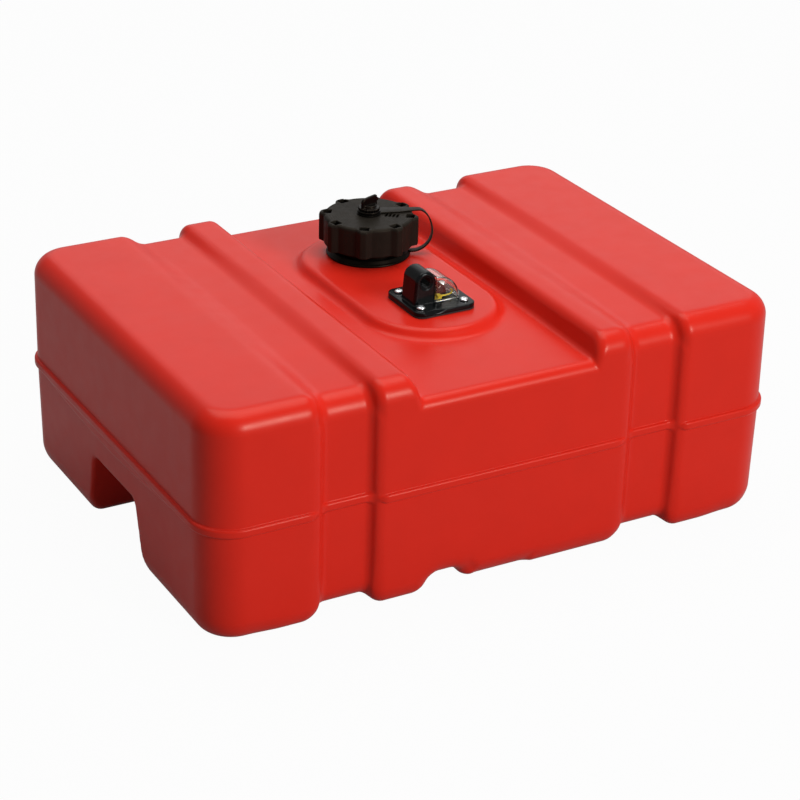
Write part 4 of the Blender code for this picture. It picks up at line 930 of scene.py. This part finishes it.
class FUELTANK_OT_plate(Operator):
    """Mould the sender plate and cut the thread of its outlet"""
    bl_idname = "fueltank.plate"
    bl_label = "Sender plate"

    def execute(self, context):
        size = context.scene.fuel_sender
        finish = gloss_acetal("gloss_acetal", size.plate_black)
        margin, step = 0.0015, 0.0007
        reach, axis = size.size / 2 + margin, PLATE_TOP + size.axis_height
        axes = even_lines((size.x - reach, size.y - reach, PLATE_LOW - 0.0155),
                          (size.x + reach, size.y + reach, axis + size.tower_width / 2 + margin), step)
        points, faces = skin(plate_shape(size), axes)
        piece("sender_plate_moulding", points, faces, finish, "tank", ["sender_plate"])
        rows, around = 150, 48
        front, run = size.y + size.tower_front + 0.0013, size.outlet_depth - 0.0016
        root, crest_height, outer = size.outlet_radius + 0.0002, 0.0011, size.outlet_radius + 0.0004
        points = []
        for row in range(rows):
            y = front + run * row / (rows - 1)
            for column in range(around):
                turn = 2 * pi * column / around
                phase = (y - front) / size.thread_pitch - column / around
                radius = root - crest_height * abs((phase % 1) - 0.5) * 2
                points.append((size.tower_x + radius * cos(turn), y, axis + radius * sin(turn)))
        for y in (front + run, front):
            points += [(size.tower_x + outer * cos(2 * pi * column / around), y,
                        axis + outer * sin(2 * pi * column / around)) for column in range(around)]
        thread_finish = gloss_acetal("thread_acetal", size.plate_black, 0.2, 0.28)
        piece("outlet_thread", points, tube_faces(rows + 2, around), thread_finish, "tank",
              crease=radians(60))
        finish_node("sender_gasket", soft_rubber("sender_gasket_rubber", linear("121212")))
        return {"FINISHED"}


def screw_shape(centre, low, high, turn):
    """A pan-head screw with a cross recess turned by an angle."""
    head_radius, dome, head_edge, under_edge, shank_radius = 0.0043, 0.0011, 0.0009, 0.0002, 0.0021
    depth, reach, taper, slit_half, slit_edge = 0.0018, 0.00225, 0.0011, 0.00045, 0.00012
    across, up, seat = cos(turn), sin(turn), high - SCREW_HEAD

    def shape(x, y, z):
        x, y = x - centre[0], y - centre[1]
        radius = np.hypot(x, y)
        head = overlap(radius - head_radius, z - high + dome * (radius / head_radius) ** 2, head_edge)
        head = overlap(head, seat - z, under_edge)
        a, b = np.abs(x * across + y * up), np.abs(y * across - x * up)
        arm = reach - taper * np.clip((high - z) / depth, 0, 1)
        cross = np.minimum(np.maximum(a - arm, b - slit_half), np.maximum(b - arm, a - slit_half))
        head = overlap(head, -np.maximum(cross, high - depth - z), slit_edge)
        shank = np.maximum(radius - shank_radius, np.maximum(low - z, z - seat - 0.0005))
        return np.minimum(head, shank)

    return shape


class FUELTANK_OT_screws(Operator):
    """Form the four pan-head screws"""
    bl_idname = "fueltank.screws"
    bl_label = "Plate screws"

    def execute(self, context):
        finish = bright_metal("zinc_plated_steel", linear("D9DADB"))
        reach, step, shank_step, first_turn, turn_step = 0.0048, 0.00022, 0.001, 20, 37
        for number, node in enumerate(SCREWS):
            low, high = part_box(node)
            centre = (low + high) / 2
            fine_from = high.z - SCREW_HEAD - shank_step
            x, y = (np.arange(middle - reach, middle + reach, step) for middle in (centre.x, centre.y))
            z = np.concatenate([np.arange(low.z - 0.001, fine_from, shank_step),
                                np.arange(fine_from, high.z + 0.0008, step)])
            shape = screw_shape(centre, low.z, high.z, radians(first_turn + turn_step * number))
            points, faces = skin(shape, (x, y, z))
            piece("pan_head_" + str(number + 1), points, faces, finish, "tank", [node])
        return {"FINISHED"}


def cover_shape(size, low, high):
    """The gauge's clear cover: a quarter round with thin walls, flat on its left side and its bottom."""
    wall, edge, inner_edge = size.lens_wall, 0.0007, 0.0006

    def shape(x, y, z):
        rim = np.hypot(x - low.x, z - low.z) - size.lens_radius
        solid = overlap(rim, slab(y, low.y, high.y), edge)
        solid = np.maximum(solid, np.maximum(low.x - x, low.z - z))
        hollow = overlap(rim + wall, np.maximum(low.y + wall - y, y - high.y + wall), inner_edge)
        return np.maximum(solid, -hollow)

    return shape


class FUELTANK_OT_gauge(Operator):
    """Mould the gauge's clear cover, its dial and pointer"""
    bl_idname = "fueltank.gauge"
    bl_label = "Float gauge"

    def execute(self, context):
        size = context.scene.fuel_sender
        low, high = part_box("gauge_lens")
        margin, curve_margin, step = 0.001, 0.0015, 0.0006
        axes = even_lines((low.x - margin, low.y - margin, low.z - margin),
                          (high.x + curve_margin, high.y + margin, high.z + curve_margin), step)
        points, faces = skin(cover_shape(size, low, high), axes)
        clear = clear_acrylic("clear_acrylic")
        piece("clear_cover", points, faces, clear, "tank", ["gauge_lens"])

        marks, first, spread = 3, 42, 34
        near, far_long, far_short, half = 0.0130, 0.0158, 0.0148, 0.0004
        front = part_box("gauge_dial")[0].y
        points, faces = [], []
        for number in range(marks):
            turn = radians(first + spread * number / (marks - 1))
            far = far_long if number % 2 == 0 else far_short
            for y in (front - 0.00025, front + 0.0002):
                for radius, side in ((near, -half), (far, -half), (far, half), (near, half)):
                    points.append((low.x + radius * cos(turn) - side * sin(turn), y,
                                   low.z + radius * sin(turn) + side * cos(turn)))
            base = number * 8
            faces += [(base, base + 1, base + 2, base + 3), (base + 7, base + 6, base + 5, base + 4)]
            faces += [(base + i, base + 4 + i, base + 4 + (i + 1) % 4, base + (i + 1) % 4) for i in range(4)]
        ink = injection_moulded_plastic("dial_marks_ink", linear("D8D2C4"))
        piece("dial_marks", points, faces, ink, "tank", smooth=False)
        finish_node("gauge_dial", gloss_acetal("dial_acetal", linear("2A0D0A"), 0.35, 0.45))
        yellow = injection_moulded_plastic("pointer_acetal", size.yellow, 0.3, 0.4, shine=0.4)
        finish_node("gauge_pointer", yellow)
        finish_node("gauge_pin", bright_metal("brass_pin", linear("8A6430")))
        return {"FINISHED"}


class FUELTANK_OT_inside(Operator):
    """Finish the pickup tube, the float and its arm inside the tank"""
    bl_idname = "fueltank.inside"
    bl_label = "Inner pieces"

    def execute(self, context):
        wire = bright_metal("stainless_wire", linear("B4B4B2"))
        nylon = injection_moulded_plastic("natural_nylon", linear("CFC9B4"))
        foam = soft_rubber("closed_cell_nitrile", linear("1C1C1C"), 0.6)
        for node, finish in (("float_arm", wire), ("float_clip", wire), ("float", foam),
                             ("pickup_tube", nylon), ("pickup_filter", nylon)):
            finish_node(node, finish)
        return {"FINISHED"}


def area_light(name, place, target, size, power):
    """A rectangular lamp that faces a point."""
    lamp = bpy.data.lights.new(name, "AREA")
    lamp.shape = "RECTANGLE"
    lamp.size, lamp.size_y = size
    lamp.energy = power
    thing = bpy.data.objects.new(name, lamp)
    thing.location = place
    thing.rotation_euler = (Vector(target) - Vector(place)).to_track_quat("-Z", "Y").to_euler()
    bpy.context.scene.collection.objects.link(thing)


def lay_floor(stage):
    """A matt floor that the camera sees as nearly white, with the object's shadow on it."""
    seen_glow, mirrored_glow = 0.965, 0.12
    finish = bpy.data.materials.new("pale_floor")
    tree = empty_tree(finish)
    ray = add_node(tree, "ShaderNodeLightPath").outputs
    clear = add_node(tree, "ShaderNodeMath", {0: ray["Is Camera Ray"], 1: ray["Is Transmission Ray"]},
                     operation="MAXIMUM").outputs[0]
    shine = add_node(tree, "ShaderNodeMath", {0: ray["Is Glossy Ray"], 1: mirrored_glow},
                     operation="MULTIPLY").outputs[0]
    most = add_node(tree, "ShaderNodeMath", {0: clear, 1: seen_glow, 2: shine},
                    operation="MULTIPLY_ADD").outputs[0]
    matt = add_node(tree, "ShaderNodeBsdfDiffuse", {"Color": (*stage.pale, 1)})
    glow = add_node(tree, "ShaderNodeEmission", {"Color": (1, 1, 1, 1), "Strength": 1.0})
    mixed = add_node(tree, "ShaderNodeMixShader", {0: most, 1: matt.outputs[0], 2: glow.outputs[0]})
    add_node(tree, "ShaderNodeOutputMaterial", {"Surface": mixed.outputs[0]})
    half = stage.floor / 2
    corners = [(-half, -half, 0), (half, -half, 0), (half, half, 0), (-half, half, 0)]
    mesh = bpy.data.meshes.new("floor")
    mesh.from_pydata(corners, [], [(0, 1, 2, 3)])
    mesh.materials.append(finish)
    floor = bpy.data.objects.new("floor", mesh)
    floor.location.z = -0.0002
    bpy.context.scene.collection.objects.link(floor)


def hang_backdrop():
    """A world that is white for the camera and glass, dimmer in reflections, and lights only a little."""
    room_light, mirrored_loss = 0.16, -0.65
    world = bpy.data.worlds.new("studio")
    bpy.context.scene.world = world
    tree = empty_tree(world)
    ray = add_node(tree, "ShaderNodeLightPath").outputs
    seen = add_node(tree, "ShaderNodeMath", {0: ray["Is Camera Ray"], 1: ray["Is Glossy Ray"]},
                    operation="MAXIMUM").outputs[0]
    seen = add_node(tree, "ShaderNodeMath", {0: seen, 1: ray["Is Transmission Ray"]},
                    operation="MAXIMUM").outputs[0]
    strength = add_node(tree, "ShaderNodeMapRange",
                        {"Value": seen, "To Min": room_light, "To Max": 1.0}).outputs["Result"]
    shine = add_node(tree, "ShaderNodeMath", {0: ray["Is Glossy Ray"], 1: mirrored_loss, 2: strength},
                     operation="MULTIPLY_ADD").outputs[0]
    back = add_node(tree, "ShaderNodeBackground", {"Color": (1, 1, 1, 1), "Strength": shine})
    add_node(tree, "ShaderNodeOutputWorld", {"Surface": back.outputs[0]})


def place_camera(stage):
    """The photograph's point of view."""
    lens = bpy.data.cameras.new("camera")
    lens.lens = stage.camera_lens
    lens.sensor_width = 36
    lens.clip_start = 0.01
    azimuth, elevation, roll = stage.azimuth, stage.elevation, stage.roll
    back = Vector((sin(azimuth) * cos(elevation), -cos(azimuth) * cos(elevation), sin(elevation)))
    right = (-back).cross(Vector((0, 0, 1))).normalized()
    up = right.cross(-back)
    side = right * cos(roll) + up * sin(roll)
    upward = up * cos(roll) - right * sin(roll)
    place = Matrix.Translation((-1.0999, -1.9493, 1.1913))
    camera = bpy.data.objects.new("camera", lens)
    camera.matrix_world = place @ Matrix((side, upward, back)).transposed().to_4x4()
    bpy.context.scene.collection.objects.link(camera)
    bpy.context.scene.camera = camera


class FUELTANK_OT_stage(Operator):
    """Set up the floor, backdrop, lights and camera"""
    bl_idname = "fueltank.stage"
    bl_label = "Stage"

    def execute(self, context):
        stage = context.scene.fuel_stage
        lay_floor(stage)
        hang_backdrop()
        area_light("key_box", (1.1, -3.45, 1.75), (0, 0, 0.1), (1.35, 1.2), 114)
        area_light("overhead_box", (0.3, 0.5, 3.1), (0, 0, 0.2), (3.0, 2.4), 81)
        area_light("back_card", (1.32, 2.34, 1.5), (0, 0, 0.2), (3.2, 1.6), 11)
        place_camera(stage)
        context.scene.view_settings.view_transform = "Standard"
        return {"FINISHED"}


STEPS = (FUELTANK_OT_skin, FUELTANK_OT_neck, FUELTANK_OT_tether, FUELTANK_OT_cap, FUELTANK_OT_vent,
         FUELTANK_OT_plate, FUELTANK_OT_screws, FUELTANK_OT_gauge, FUELTANK_OT_inside, FUELTANK_OT_stage)


class FUELTANK_PT_panel(Panel):
    bl_label = "Fuel tank"
    bl_idname = "FUELTANK_PT_panel"
    bl_space_type = "VIEW_3D"
    bl_region_type = "UI"
    bl_category = "Fuel Tank"

    def draw(self, context):
        for step in STEPS:
            self.layout.operator(step.bl_idname)


GROUPS = {"fuel_tank": TankSizes, "fuel_cap": CapSizes, "fuel_sender": SenderSizes, "fuel_stage": StageSizes}


def register():
    for kind in (*GROUPS.values(), *STEPS, FUELTANK_PT_panel):
        bpy.utils.register_class(kind)
    for name, kind in GROUPS.items():
        setattr(bpy.types.Scene, name, PointerProperty(type=kind))


def unregister():
    for name in GROUPS:
        delattr(bpy.types.Scene, name)
    for kind in reversed((*GROUPS.values(), *STEPS, FUELTANK_PT_panel)):
        bpy.utils.unregister_class(kind)


def main():
    register()
    for step in STEPS:
        group, name = step.bl_idname.split(".")
        getattr(getattr(bpy.ops, group), name)()


if __name__ == "__main__":
    main()
